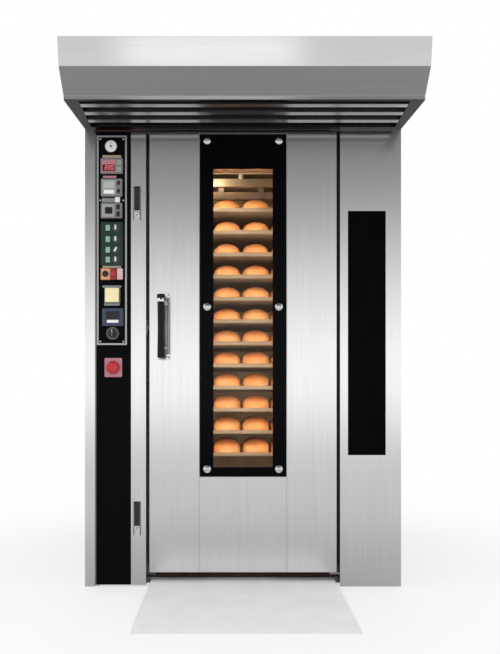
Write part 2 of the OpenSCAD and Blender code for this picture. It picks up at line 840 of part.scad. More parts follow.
// Lamps: four bulkhead lamps on the inner side of the door stops
module oven_lamps() {
    x0 = column_x - stop_w + 8;
    x1 = column_x - 8;
    for (side = [-1, 1], z = [700, 1500]) {
        a = side > 0 ? x0 : -x1;
        b = side > 0 ? x1 : -x0;
        color(dark_steel) block([a, chamber_y, z], [b, chamber_y + 6, z + 190]);
        color([1.0, 0.90, 0.65]) block([a + 6, chamber_y + 6, z + 8], [b - 6, chamber_y + 20, z + 182]);
    }
}

// Electrical plate in the control cabinet, with the contactors, drive and terminal row
module electrical_plate() {
    x0 = -wool_x + 14;
    x1 = -jamb_x - 10;
    face_y = cabinet_y - 3;
    y1 = face_y - weld;
    color([0.75, 0.76, 0.74]) block([x0, face_y, 300], [x1, cabinet_y, 1700]);
    color([0.16, 0.17, 0.19]) {
        for (i = [0 : 2]) block([x0 + 12 + i * 58, y1 - 75, 1380], [x0 + 57 + i * 58, y1, 1465]);
        for (i = [0 : 4]) block([x0 + 12 + i * 35, y1 - 63, 1180], [x0 + 40 + i * 35, y1, 1265]);
    }
    color([0.62, 0.64, 0.63]) block([x0 + 20, y1 - 107, 780], [x1 - 20, y1, 1020]);
    color([0.45, 0.52, 0.40]) block([x0 + 12, y1 - 45, 520], [x1 - 12, y1, 570]);
    color(black) pipe_z(gland_x, gland_y, gland_r + 9, gland_r, roof_z, roof_z + 26);
}

// ---------------------------------------------------------------- turntable and rack

// Turntable: a plate with a bevelled rim on a hub that turns in the floor
module turntable() {
    color([0.66, 0.66, 0.65]) {
        translate([0, 0, table_z]) rotate_extrude()
            polygon([[0, 0], [table_r, 0], [table_r - 20, table_t], [0, table_t]]);
        rod_z(0, 0, hub_r, base_h - hub_drop, table_z - weld);
    }
}

// Drive shaft with the fork that takes the rack's middle bar between its prongs
module drive_shaft() {
    prong_in = rack_tube / 2 + 1;
    arm = 120;
    color([0.60, 0.60, 0.62]) {
        rod_z(0, 0, shaft_r, fork_z + 14 + weld, gear_z + gear_h - 16);
        block([-arm, -prong_in - 8, fork_z], [arm, prong_in + 8, fork_z + 14]);
        for (x = [-1, 1], y = [-1, 1])
            block([x * (arm - 14) - 14, min(y * prong_in, y * (prong_in + 8)), rack_top_z + 8],
                  [x * (arm - 14) + 14, max(y * prong_in, y * (prong_in + 8)), fork_z - weld]);
    }
}

function tray_z(i) = tray_first_z + i * tray_pitch;

// Rack frame: four uprights, upper and lower frames, a middle drive bar, runner angles and castor plates
plate_t = 8;
crown_t = 6;
fork_gap = castor_w / 2 + 3.6;
king_r = 8;
axle_r = 5;

module rack_frame() {
    inner_y = rack_y - rack_tube;
    plate_z = rack_foot_z - plate_t;
    color([0.72, 0.72, 0.71]) {
        for (x = [-rack_x, post_x], y = [-rack_y, inner_y])
            block([x, y, rack_foot_z + rack_tube + weld], [x + rack_tube, y + rack_tube, rack_top_z - weld]);
        for (level = [[rack_foot_z, rack_foot_z + rack_tube], [rack_top_z, rack_top]]) {
            for (y = [-rack_y, inner_y])
                block([-rack_x, y, level[0]], [rack_x, y + rack_tube, level[1]]);
            for (x = [-rack_x, post_x])
                block([x, -inner_y + weld, level[0]], [x + rack_tube, inner_y - weld, level[1]]);
        }
        block([-post_x + weld, -rack_tube / 2, rack_top_z], [post_x - weld, rack_tube / 2, rack_top]);
        mirrored_x() {
            for (i = [0 : tray_count - 1]) runner(tray_z(i));
            difference() {
                block([castor_x - 30, -castor_y - 30, plate_z],
                      [castor_x + 30, -castor_y + 30, rack_foot_z - weld]);
                rod_z(castor_x, -castor_y, king_r + fit, plate_z - 1, rack_foot_z + 1);
            }
            block([castor_x - 30, castor_y - 30, plate_z], [castor_x + 30, castor_y + 30, rack_foot_z - weld]);
            castor_fork(castor_x, castor_y, castor_y, plate_z - weld);
        }
    }
}

// One runner angle under a tray's edge
module runner(z) {
    x0 = post_x - runner_w;
    x1 = post_x - weld;
    rim_x = tray_w / 2 + 1;
    rim_z = z + tray_h + 4;
    translate([0, rack_y, 0]) rotate([90, 0, 0]) linear_extrude(2 * rack_y)
        polygon([[x0, z - runner_t], [x1, z - runner_t], [x1, rim_z], [rim_x, rim_z], [rim_x, z], [x0, z]]);
}

// Trays: shallow pans
module trays() {
    color([0.60, 0.58, 0.55]) for (i = [0 : tray_count - 1]) difference() {
        block([-tray_w / 2, -tray_d / 2, tray_z(i)], [tray_w / 2, tray_d / 2, tray_z(i) + tray_h]);
        block([-tray_w / 2 + tray_t, -tray_d / 2 + tray_t, tray_z(i) + tray_t],
              [tray_w / 2 - tray_t, tray_d / 2 - tray_t, tray_z(i) + tray_h + 1]);
    }
}

// A loaf: half a spindle turned about its length, flat at its foot
function loaf_outline(r, half, steps) = [
    for (i = [1 : steps - 1]) let (t = -1 + 2 * i / steps) [r * pow(1 - pow(abs(t), 2.6), 0.5), half * t]
];

module loaf() {
    half = loaf_l / 2;
    rotate([90, 0, 0]) rotate_extrude(angle = 180)
        polygon(concat([[0, -half]], loaf_outline(loaf_w / 2, half, 8), [[0, half]]));
}

module loaves() {
    pitch = loaf_w + loaf_gap;
    color([0.80, 0.50, 0.22]) for (i = [tray_empty : tray_count - 1], k = [0 : loaf_count - 1])
        translate([(k - (loaf_count - 1) / 2) * pitch, 0, tray_z(i) + tray_t]) loaf();
}

// Wheel with a bore that runs on its axle
module castor_wheel(x, y) {
    color([0.20, 0.19, 0.18]) difference() {
        union() {
            rod_x(y, wheel_z, castor_r, x - castor_w / 2, x + castor_w / 2);
            rod_x(y, wheel_z, castor_r * 0.4, x - fork_gap + seat, x + fork_gap - seat);
        }
        rod_x(y, wheel_z, axle_r + fit, x - fork_gap - 1, x + fork_gap + 1);
    }
}

// Castor fork: two legs, the axle and the crown plate
module castor_fork(x, y, axle_y, top) {
    leg_t = 3;
    reach = fork_gap + leg_t;
    low = min(y - 20, axle_y - 15);
    high = max(y + 20, axle_y + 15);
    for (s = [-1, 1])
        block([x + min(s * fork_gap, s * reach), axle_y - 15, wheel_z - 12],
              [x + max(s * fork_gap, s * reach), axle_y + 15, top - crown_t]);
    block([x - reach, low, top - crown_t], [x + reach, high, top]);
    rod_x(axle_y, wheel_z, axle_r, x - reach, x + reach);
}

// Swivel castor: the fork turns on its kingpin in the rack's plate
module castor_swivel(x) {
    top = rack_foot_z - plate_t - seat;
    color([0.55, 0.56, 0.57]) {
        castor_fork(x, -castor_y, -castor_y + castor_trail, top);
        rod_z(x, -castor_y, king_r, top, rack_foot_z - seat);
    }
}

module castor_swivel_left() { castor_swivel(-castor_x); }
module castor_swivel_right() { castor_swivel(castor_x); }
module castor_wheel_front_left() { castor_wheel(-castor_x, -castor_y + castor_trail); }
module castor_wheel_front_right() { castor_wheel(castor_x, -castor_y + castor_trail); }
module castor_wheels_rear() { mirrored_x() castor_wheel(castor_x, castor_y); }

// ---------------------------------------------------------------- oven door

// Door leaf: two stiles and two rails of folded sheet round the window; the right stile holds the pivots
module door_core() {
    guide = bolt_s / 2 + 0.15;
    color([0.70, 0.70, 0.69]) {
        difference() {
            union() {
                tube_z([hole_x, skin_y, door_bottom], [door_x, back_y, door_top]);
                for (z = [door_bottom, door_top - plug_h])
                    block([pivot_x - 20, skin_y, z], [door_x, pivot_y + 20, z + plug_h]);
            }
            for (z = [door_bottom - 1, door_top - plug_h])
                rod_z(pivot_x, pivot_y, pivot_r + fit, z, z + plug_h + 1);
        }
        difference() {
            union() {
                tube_z([-door_x, skin_y, door_bottom], [-hole_x, back_y, door_top]);
                block([-door_x, back_y - 70, handle_z - 30], [-door_x + 55, back_y - 10, handle_z + 30]);
            }
            block([-door_x - 1, back_y - 40 - guide, handle_z - guide],
                  [-door_x + 56, back_y - 40 + guide, handle_z + guide]);
        }
        for (z = [[door_bottom, hole_z0], [hole_z1, door_top]]) difference() {
            block([-hole_x + weld, skin_y, z[0]], [hole_x - weld, back_y, z[1]]);
            block([-hole_x - 1, skin_y + core_wall, z[0] + core_wall],
                  [hole_x + 1, back_y - core_wall, z[1] - core_wall]);
        }
    }
}

// Face panels: full height left and right, a short one under the window and a strip above it
module door_panels() {
    color(steel) {
        mirrored_x() block([pane_x + seam / 2, front_y, door_bottom], [door_x, skin_y, door_top]);
        block([-pane_x + seam / 2, front_y, door_bottom], [pane_x - seam / 2, skin_y, pane_bottom]);
        block([-pane_x + seam / 2, front_y, pane_top], [pane_x - seam / 2, skin_y, door_top]);
    }
}

// Window border: the opaque black margin of the outer pane
module window_frame() {
    y0 = skin_y - pane_t;
    color(black) {
        mirrored_x() block([glass_x, y0, pane_bottom + seam], [pane_x - seam, skin_y, pane_top - seam]);
        block([-glass_x + weld, y0, pane_bottom + seam], [glass_x - weld, skin_y, glass_z0 - weld]);
        block([-glass_x + weld, y0, glass_z1 + weld], [glass_x - weld, skin_y, pane_top - seam]);
    }
}

// Clear glass: the middle of the outer pane, and the inner pane in the leaf's opening
module window_glass() {
    color([0.75, 0.85, 0.88, 0.35]) {
        block([-glass_x, skin_y - pane_t, glass_z0], [glass_x, skin_y, glass_z1]);
        block([-hole_x, back_y - 14, hole_z0], [hole_x, back_y - 14 + pane_t, hole_z1]);
    }
}

// Fixing caps of the outer pane
module window_caps() {
    y1 = skin_y - pane_t;
    cap_x = pane_x - border_w * 0.56;
    color([0.85, 0.85, 0.86]) for (x = [-cap_x, cap_x], z = [pane_bottom + 36, pane_bottom + cap_mid, pane_top - 32])
        rod_y(x, z, cap_r, y1 - 7, y1);
}

// Seal: strips round the leaf's rear face and a wiper at its foot
module door_seal() {
    x1 = column_x - 34;
    z1 = head_z - 16;
    y1 = back_y + seal_t;
    wiper_h = 60;
    z0 = floor_z + 4;
    color([0.25, 0.10, 0.09]) {
        mirrored_x() block([x1 - seal_w, back_y, z0 + wiper_h + weld], [x1, y1, z1 - seal_w - weld]);
        block([-x1, back_y, z1 - seal_w], [x1, y1, z1]);
        block([-x1, back_y, z0], [x1, back_y + 10, z0 + wiper_h]);
    }
}

// Handle: a back plate with two lugs, and a vertical grip that swings out on a pin between them
grip_x = -door_x + grip_in;
grip_y = front_y - grip_out;
swing_x = grip_x + 29;
swing_y = front_y - 22;
lug_h = 10;
swing_r = 4;

module door_handle_base() {
    z0 = handle_z - handle_h / 2;
    z1 = handle_z + handle_h / 2;
    color([0.72, 0.73, 0.74]) {
        block([grip_x - 20, front_y - 4, z0], [swing_x + 9, front_y, z1]);
        for (z = [z0 + 14, z1 - 14 - lug_h]) difference() {
            block([swing_x - 9, swing_y - 9, z], [swing_x + 9, front_y - 4 - weld, z + lug_h]);
            rod_z(swing_x, swing_y, swing_r + fit, z - 1, z + lug_h + 1);
        }
    }
}

module door_handle_lever() {
    z0 = handle_z - handle_h / 2 + 14;
    z1 = handle_z + handle_h / 2 - 14;
    ring_z = z1 - 31;
    ring_h = 17;
    color(black) rod_z(grip_x, grip_y, grip_r, z0 - 8, ring_z);
    color([0.80, 0.80, 0.80]) {
        rod_z(grip_x, grip_y, grip_r - 2, ring_z, ring_z + ring_h);
        rod_z(swing_x, swing_y, swing_r, z0 - 2, z1 + 2);
        rod_z(swing_x, swing_y, 8, z0 + lug_h + seat, z1 - lug_h - seat);
        for (z = [z0 + 30, ring_z - 14]) translate([0, 0, z]) linear_extrude(12)
            polygon([[grip_x - 6, grip_y - 4], [grip_x + 4, grip_y - 8],
                     [swing_x + 5, swing_y - 4], [swing_x - 5, swing_y + 4]]);
    }
    color(black) rod_z(grip_x, grip_y, grip_r + 2, ring_z + ring_h, ring_z + ring_h + 18);
}

// Latch bolt: a square bar in the left stile, drawn in by the handle
module latch_bolt() {
    half = bolt_s / 2;
    color([0.62, 0.63, 0.64])
        block([-door_x - bolt_out, back_y - 40 - half, handle_z - half],
              [-door_x + 40, back_y - 40 + half, handle_z + half]);
}

// ---------------------------------------------------------------- service door and controls

// Places on the control panel: [x, z] of everything that has a stem through it
selector_at = [for (z = [1621, 1570, 1522, 1478]) [controls_x + 18, z]];
start_at = [controls_x - 29, 1413];
stop_at = [controls_x + 7, 1413];
light_at = [controls_x + 1, 1318];
key_at = [controls_x + 3, 1145];
mushroom_at = [controls_x + 6, 991];
gauge_at = [controls_x - 4, 1989];
all_stems = concat(selector_at, [start_at, stop_at, light_at, key_at, mushroom_at, gauge_at]);

module stem_holes(y0, y1) {
    for (at = all_stems) rod_y(at[0], at[1], stem_r + fit, y0, y1);
}

// Service door: a front sheet with folded edges and hinge blocks at both ends
module service_door() {
    block_w = 8;
    hinge_h = 40;
    lap = sheet + weld;
    y0 = front_y + lap;
    y1 = front_y + service_d;
    hole_half = lock_w / 2 - 1.7;
    hole_reach = lock_h / 2 - 1.7;
    color(steel) {
        difference() {
            block([service_x0, front_y, service_z0], [service_x1, front_y + sheet, service_z1]);
            stem_holes(front_y - 1, y0);
            for (z = [lock_low_z, lock_high_z])
                block([lock_x - hole_half, front_y - 1, z - hole_reach],
                      [lock_x + hole_half, y0, z + hole_reach]);
        }
        for (x = [service_x0, service_x1 - sheet])
            block([x, y0, service_z0], [x + sheet, y1, service_z1]);
        difference() {
            union() {
                for (z = [service_z0, service_z1 - sheet])
                    block([service_x0 + lap, y0, z], [service_x1 - lap, y1, z + sheet]);
                for (z = [service_z0 + lap, service_z1 - hinge_h])
                    block([service_x0 + lap, y0, z],
                          [service_pin_x + block_w, service_pin_y + 6, z + hinge_h - lap]);
            }
            for (z = [service_z0 - 1, service_z1 - hinge_h - 1])
                rod_z(service_pin_x, service_pin_y, service_pin_r + fit, z, z + hinge_h + 2);
        }
    }
}

// Black control panel over the left part of the service door
module control_panel() {
    color(black) difference() {
        block([panel_x0, panel_y, service_z0 + 2], [panel_x1, front_y, service_z1 - 2]);
        stem_holes(panel_y - 1, front_y + 1);
    }
}

// A plate on the control panel, given by its middle, size and depth
module unit(x, z, w, h, depth) {
    block([x - w / 2, panel_y - depth, z - h / 2], [x + w / 2, panel_y, z + h / 2]);
}

// A plate with one bore for a stem
module bored_unit(x, z, w, h, depth, at) {
    difference() {
        unit(x, z, w, h, depth);
        rod_y(at[0], at[1], stem_r + fit, panel_y - depth - 1, panel_y + 1);
    }
}

// Fixed modules of the panel: trim frame, gauge, labels, controllers, lamps and switch plates
module panel_modules() {
    x = controls_x;
    mid = x - 1;
    wide = panel_w - 64;
    frame_w = panel_w - 22;
    frame_z0 = 1093;
    frame_z1 = 2040;
    line = 8;
    color([0.70, 0.71, 0.72]) {
        for (s = [-1, 1])
            unit(mid + s * (frame_w - line) / 2, (frame_z0 + frame_z1) / 2, line, frame_z1 - frame_z0, 1);
        for (z = [frame_z0 + line / 2, frame_z1 - line / 2]) unit(mid, z, frame_w - 2 * line, line, 1);
    }
    color([0.92, 0.92, 0.90]) difference() {
        rod_y(gauge_at[0], gauge_at[1], 29, panel_y - 8, panel_y);
        rod_y(gauge_at[0], gauge_at[1], stem_r + fit, panel_y - 9, panel_y + 1);
    }
    color([0.80, 0.74, 0.62]) for (z = [1945, 1446, 1357]) unit(mid, z, 80, 10, 1);
    color([0.62, 0.56, 0.55]) unit(mid, 1901, wide, 66, 6);
    color([0.72, 0.60, 0.60]) unit(mid, 1853, 80, 8, 1);
    color([0.55, 0.56, 0.57]) {
        unit(mid, 1802, wide, 78, 12);
        unit(mid, 1698, wide, 66, 12);
    }
    color([0.78, 0.78, 0.76]) unit(mid, 1747, 84, 20, 2);
    color([0.05, 0.22, 0.14]) {
        unit(x - 26, 1550, 40, 190, 3);
        difference() {
            unit(x + 20.5, 1550, 53, 190, 3);
            for (at = selector_at) rod_y(at[0], at[1], stem_r + fit, panel_y - 4, panel_y + 1);
        }
    }
    color([0.75, 0.90, 0.78]) for (at = selector_at)
        block([x - 28, panel_y - 9, at[1] - 13], [x - 8, panel_y - 3, at[1] + 13]);
    color([0.85, 0.50, 0.30]) bored_unit(start_at[0], start_at[1], 42, 50, 4, start_at);
    color([0.55, 0.10, 0.10]) bored_unit(stop_at[0], stop_at[1], 26, 50, 4, stop_at);
    color([0.85, 0.78, 0.80]) unit(x + 36, 1413, 26, 50, 8);
    color([0.60, 0.62, 0.62]) {
        unit(mid, 1276, 70, 10, 1);
        bored_unit(light_at[0], light_at[1], 70, 70, 3, light_at);
    }
    color([0.35, 0.42, 0.50]) unit(x + 4, 1218, 94, 78, 9);
    color([0.45, 0.42, 0.38]) difference() {
        rod_y(key_at[0], key_at[1], 29, panel_y - 8, panel_y);
        rod_y(key_at[0], key_at[1], stem_r + fit, panel_y - 9, panel_y + 1);
    }
    color([0.85, 0.65, 0.66]) bored_unit(mushroom_at[0], mushroom_at[1], 79, 86, 4, mushroom_at);
}

// A turning switch: knob with a raised bar, and its stem
module selector(at) {
    y1 = panel_y - 3 - seat;
    stem_y = front_y + 14;
    color([0.85, 0.85, 0.84]) {
        rod_y(at[0], at[1], 12, y1 - 10, y1);
        block([at[0] - 3.5, y1 - 18, at[1] - 11], [at[0] + 3.5, y1 - 10, at[1] + 11]);
        rod_y(at[0], at[1], stem_r, y1, stem_y);
    }
}

module selector_1() { selector(selector_at[0]); }
module selector_2() { selector(selector_at[1]); }
module selector_3() { selector(selector_at[2]); }
module selector_4() { selector(selector_at[3]); }

// Push buttons: a cap that stands clear of its plate by its travel, on a stem
module push_button_start() {
    y1 = panel_y - 4 - push_travel - seat;
    color([0.10, 0.09, 0.09]) rod_y(start_at[0], start_at[1], 14, y1 - 7, y1);
    color([0.10, 0.09, 0.09]) rod_y(start_at[0], start_at[1], stem_r, y1, front_y + 14);
}

module push_button_stop() {
    y1 = panel_y - 4 - push_travel - seat;
    color([0.80, 0.08, 0.08]) {
        rod_y(stop_at[0], stop_at[1], 11, y1 - 7, y1);
        rod_y(stop_at[0], stop_at[1], stem_r, y1, front_y + 14);
    }
}

module light_button() {
    y1 = panel_y - 3 - push_travel - seat;
    color([0.93, 0.89, 0.72]) {
        block([light_at[0] - 31, y1 - 6, light_at[1] - 32], [light_at[0] + 31, y1, light_at[1] + 32]);
        rod_y(light_at[0], light_at[1], stem_r, y1, front_y + 14);
    }
}

module key_switch() {
    y1 = panel_y - 8 - seat;
    color([0.50, 0.47, 0.42]) {
        rod_y(key_at[0], key_at[1], 19, y1 - 8, y1);
        block([key_at[0] - 4, y1 - 20, key_at[1] - 17], [key_at[0] + 4, y1 - 8, key_at[1] + 17]);
        rod_y(key_at[0], key_at[1], stem_r, y1, front_y + 14);
    }
}

module emergency_stop() {
    travel = 5;
    y1 = panel_y - 4 - travel - seat;
    color([0.78, 0.07, 0.10]) {
        rod_y(mushroom_at[0], mushroom_at[1], stop_head_r, y1 - 14, y1);
        rod_y(mushroom_at[0], mushroom_at[1], stop_head_r - 6, y1 - 19, y1 - 14);
        rod_y(mushroom_at[0], mushroom_at[1], stem_r, y1, front_y + 14);
    }
}

module gauge_needle() {
    y1 = panel_y - 8 - seat;
    color([0.70, 0.08, 0.08]) {
        block([gauge_at[0] - 1.2, y1 - 2, gauge_at[1] - 7], [gauge_at[0] + 1.2, y1, gauge_at[1] + 22]);
        rod_y(gauge_at[0], gauge_at[1], 4, y1 - 2, y1);
        rod_y(gauge_at[0], gauge_at[1], stem_r, y1, front_y + 14);
    }
}

// Locks: a flush housing with the key cylinder at its foot; the paddle above it swings out
paddle_pin_r = 2.5;
paddle_drop = 8;
cylinder_drop = 52;

module lock_housing(z) {
    top = z + lock_h / 2;
    low = z - lock_h / 2;
    half = lock_w / 2;
    pin_z = top - paddle_drop;
    difference() {
        union() {
            block([lock_x - half, front_y - 3, low], [lock_x + half, front_y, top]);
            block([lock_x - half + 2, front_y, low + 2], [lock_x + half - 2, front_y + 20, top - 2]);
        }
        block([lock_x - half + 5.5, front_y - 4, low + cylinder_drop - 8],
              [lock_x + half - 5.5, front_y + 12, top - 3.6]);
        rod_x(front_y + 5, pin_z, paddle_pin_r + fit, lock_x - half + 3, lock_x + half - 3);
        rod_y(lock_x, low + cylinder_drop / 2, 9 + fit, front_y - 4, front_y + 21);
    }
    rod_y(lock_x, low + cylinder_drop / 2, 9, front_y - 5, front_y + 22);
}

module lock_housings() {
    color([0.16, 0.17, 0.18]) for (z = [lock_low_z, lock_high_z]) lock_housing(z);
}

module lock_paddle(z) {
    top = z + lock_h / 2;
    low = z - lock_h / 2;
    half = lock_w / 2 - 5.9;
    pin_z = top - paddle_drop;
    color([0.08, 0.08, 0.09]) {
        block([lock_x - half, front_y - 2, low + cylinder_drop - 6], [lock_x + half, front_y + 2, pin_z - 0.5]);
        rod_x(front_y + 5, pin_z, 4, lock_x - half, lock_x + half);
        rod_x(front_y + 5, pin_z, paddle_pin_r, lock_x - half - 2, lock_x + half + 2);
    }
}

module lock_handle_upper() { lock_paddle(lock_high_z); }
module lock_handle_lower() { lock_paddle(lock_low_z); }

base_frame();
floor_plate();
side_panels();
rear_panel();
roof_panel();
left_front_post();
right_front_panel();
badge_plate();
door_surround();
ramp();
chamber_liner();
insulation();
heat_exchanger();
burner();
flue_and_vent_pipes();
vent_damper();
steam_generator();
fan_housing();
fan_motor();
fan_impeller();
hood_shell();
hood_slats();
rack_gearmotor();
oven_lamps();
electrical_plate();
turntable();
drive_shaft();
rack_frame();
trays();
loaves();
castor_swivel_left();
castor_swivel_right();
castor_wheel_front_left();
castor_wheel_front_right();
castor_wheels_rear();
door_core();
door_panels();
window_frame();
window_glass();
window_caps();
door_seal();
door_handle_base();
door_handle_lever();
latch_bolt();
service_door();
control_panel();
panel_modules();
lock_housings();
lock_handle_upper();
lock_handle_lower();
selector_1();
selector_2();
selector_3();
selector_4();
push_button_start();
push_button_stop();
light_button();
key_switch();
emergency_stop();
gauge_needle();
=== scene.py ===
import math
import random

import bmesh
import bpy
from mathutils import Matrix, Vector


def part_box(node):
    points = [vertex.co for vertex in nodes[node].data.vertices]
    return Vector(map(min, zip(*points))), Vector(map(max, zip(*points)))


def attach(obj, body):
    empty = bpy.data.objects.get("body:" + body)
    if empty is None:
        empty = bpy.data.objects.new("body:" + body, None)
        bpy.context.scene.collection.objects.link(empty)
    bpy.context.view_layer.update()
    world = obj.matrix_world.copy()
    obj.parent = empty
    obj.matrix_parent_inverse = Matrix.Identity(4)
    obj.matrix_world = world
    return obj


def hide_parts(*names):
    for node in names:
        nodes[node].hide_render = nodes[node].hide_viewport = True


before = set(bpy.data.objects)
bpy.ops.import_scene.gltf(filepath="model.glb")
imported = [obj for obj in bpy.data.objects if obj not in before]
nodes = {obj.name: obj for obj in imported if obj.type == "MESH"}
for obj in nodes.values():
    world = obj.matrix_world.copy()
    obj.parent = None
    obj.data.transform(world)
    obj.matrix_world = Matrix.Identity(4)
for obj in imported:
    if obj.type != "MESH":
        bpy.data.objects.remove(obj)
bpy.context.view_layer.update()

# ---------------------------------------------------------------- camera
# A level camera at 0.81 m, three metres in front of the oven and a little to the left of its middle,
# which shows the doors, the underside of the hood and the top of the ramp at once.
scene = bpy.context.scene
eye = bpy.data.cameras.new("camera")
eye.lens, eye.sensor_width = 36.5, 36
eye.shift_x, eye.shift_y = 0.0306, 0.1239
camera = bpy.data.objects.new("camera", eye)
camera.location = (-0.059, -3.54, 0.808)
camera.rotation_euler = (math.radians(90), 0, 0)
scene.collection.objects.link(camera)
scene.camera = camera

# ---------------------------------------------------------------- studio
# A pale floor that fades into the white surroundings, as a painted studio floor does. Wide soft lamps
# stand in front of the oven, above it and behind it.
scene.view_settings.view_transform = "Standard"
white = (1, 1, 1, 1)


def put(socket, value):
    """Links an output to a socket, or sets a number or colour on it"""
    if isinstance(value, bpy.types.NodeSocket):
        socket.id_data.links.new(value, socket)
    else:
        socket.default_value = value


def feed(node, **values):
    """Puts values on a node's sockets by name, with _ for a space, or sets its properties"""
    for key, value in values.items():
        socket = node.inputs.get(key.replace("_", " "))
        if socket is None:
            setattr(node, key, value)
        else:
            put(socket, value)
    return node


def node_in(tree, kind, *values, **settings):
    """A new node, with values on its first sockets and settings by name"""
    made = feed(tree.nodes.new("ShaderNode" + kind), **settings)
    for socket, value in zip(made.inputs, values):
        put(socket, value)
    return made


def reckoned(tree, operation, *values):
    return node_in(tree, "Math", *values, operation=operation).outputs[0]


def blended(tree, share, first, second):
    return node_in(tree, "MixShader", share, first, second).outputs[0]


def seen_directly(tree, in_mirrors):
    """1 for the camera and through panes, in_mirrors for glossy rays, 0 for the light that is given off"""
    ray = node_in(tree, "LightPath").outputs
    mirrored = reckoned(tree, "MULTIPLY", ray["Is Glossy Ray"], in_mirrors)
    first = reckoned(tree, "MAXIMUM", ray["Is Camera Ray"], mirrored)
    return reckoned(tree, "MAXIMUM", first, ray["Is Transmission Ray"])


def toned(tree, amount, stops, interpolation="LINEAR"):
    """A colour ramp over an amount, with stops of (position, grey or colour)"""
    ramp = node_in(tree, "ValToRGB", amount)
    ramp.color_ramp.interpolation = interpolation
    marks = ramp.color_ramp.elements
    while len(marks) < len(stops):
        marks.new(0.5)
    for mark, (position, tone) in zip(marks, stops):
        mark.position = position
        mark.color = (*tone, 1) if isinstance(tone, tuple) else (tone, tone, tone, 1)
    return ramp.outputs["Color"]


# Mirrors see a soft wall that is bright at eye height and darker above, as a studio's lamps leave it.
surroundings = bpy.data.worlds.new("surroundings")
surroundings.use_nodes = True
scene.world = surroundings
tree = surroundings.node_tree
tree.nodes.clear()
rise = node_in(tree, "SeparateXYZ", node_in(tree, "TexCoord").outputs["Generated"]).outputs["Z"]
wall = toned(tree, rise, [(0.0, 1.0), (0.11, 1.0), (0.18, 0.84), (0.26, 0.39), (0.34, 0.17), (0.5, 0.10),
                          (1.0, 0.12)])
mirrored, backdrop, ambient = (node_in(tree, "Background", colour, strength).outputs[0]
                               for colour, strength in ((wall, 1.30), (white, 1.0), (white, 0.88)))
unmirrored = blended(tree, seen_directly(tree, 0.0), ambient, backdrop)
is_glossy = node_in(tree, "LightPath").outputs["Is Glossy Ray"]
node_in(tree, "OutputWorld", blended(tree, is_glossy, unmirrored, mirrored))

bpy.ops.mesh.primitive_plane_add(size=40)
floor = bpy.context.object
floor.name = "floor"
floor_paint = bpy.data.materials.new("pale floor")
floor_paint.use_nodes = True
tree = floor_paint.node_tree
tree.nodes.clear()
at = node_in(tree, "TexCoord").outputs["Object"]
distance = node_in(tree, "VectorMath", at, operation="LENGTH").outputs["Value"]
fade = node_in(tree, "MapRange", distance, 1.1, 3.2, 0.55, 1.0, interpolation_type="SMOOTHSTEP").outputs[0]
pale = toned(tree, node_in(tree, "LightPath").outputs["Is Glossy Ray"], [(0.0, 0.88), (1.0, 0.36)])
matt = node_in(tree, "BsdfDiffuse", pale).outputs[0]
glow = node_in(tree, "Emission", white, 1.0).outputs[0]
share = reckoned(tree, "MULTIPLY", fade, seen_directly(tree, 0.52))
node_in(tree, "OutputMaterial", blended(tree, share, matt, glow))
floor.data.materials.append(floor_paint)


def soft_lamp(name, place, aim, width, height, watts, tint=(1, 1, 1)):
    """A lit panel at a place, turned towards its aim"""
    light = bpy.data.lights.new(name, "AREA")
    light.shape = "RECTANGLE"
    light.size, light.size_y = width, height
    light.energy, light.color = watts, tint
    lamp = bpy.data.objects.new(name, light)
    lamp.location = place
    x, y, z = (aim[i] - place[i] for i in range(3))
    lamp.rotation_euler = (math.atan2(math.hypot(x, y), -z), 0, math.atan2(y, x) - math.pi / 2)
    lamp.visible_camera = False
    scene.collection.objects.link(lamp)
    return lamp


soft_lamp("front_band", (0, -5.6, 1.25), (0, 0, 1.1), 7.0, 0.9, 3)
soft_lamp("front_low", (0, -4.2, 1.5), (0, 0, 0.6), 4.0, 1.4, 18).visible_glossy = False
soft_lamp("over_left", (-4.5, -1.5, 4.0), (0, 0, 1.0), 3.0, 3.0, 60)
soft_lamp("over_right", (4.5, -1.0, 4.0), (0, 0, 1.0), 3.0, 3.0, 45)
soft_lamp("behind", (0.5, 6.0, 3.0), (0, 0.8, 1.2), 5.0, 3.0, 60)

# A narrow lamp close to the hood's band lights the hood alone.
hood_lamp = soft_lamp("hood_band", (-0.15, -1.30, 2.275), (-0.15, -0.9, 2.24), 0.80, 0.12, 0.24)
on_hood = bpy.data.collections.new("on hood")
on_hood.objects.link(nodes["hood_shell"])
hood_lamp.light_linking.receiver_collection = on_hood

# ---------------------------------------------------------------- casing
# Side, rear, roof and front sheets of 2 mm stainless steel with a vertical brushed grain, bent and
# welded into one box. Their faces are smeared a little by cleaning.
mm = 0.001


def surface_of(finish):
    return finish.node_tree, finish.node_tree.nodes["Principled BSDF"]


def new_finish(name):
    finish = bpy.data.materials.new(name)
    finish.use_nodes = True
    return (finish, *surface_of(finish))


def grain_noise(tree, stretch, size, detail=3.0):
    """Noise on the piece's own coordinates, stretched along the grain"""
    at = node_in(tree, "TexCoord").outputs["Object"]
    pulled = node_in(tree, "Mapping", Vector=at, Scale=stretch).outputs["Vector"]
    return node_in(tree, "TexNoise", Vector=pulled, Scale=size, Detail=detail, Roughness=0.6).outputs["Fac"]


def tone_between(tree, amount, dark, light, low=0.3, high=0.7):
    return toned(tree, amount, [(low, dark), (high, light)])


def spread(tree, amount, low, high):
    """The middle half of a noise's range, brought between two values"""
    return node_in(tree, "MapRange", amount, 0.25, 0.75, low, high).outputs["Result"]


def relief(tree, height, depth):
    return node_in(tree, "Bump", Height=height, Strength=1.0, Distance=depth * mm).outputs["Normal"]


def sum_of(tree, a, b, share):
    """a plus a share of b"""
    return reckoned(tree, "MULTIPLY_ADD", b, share, a)


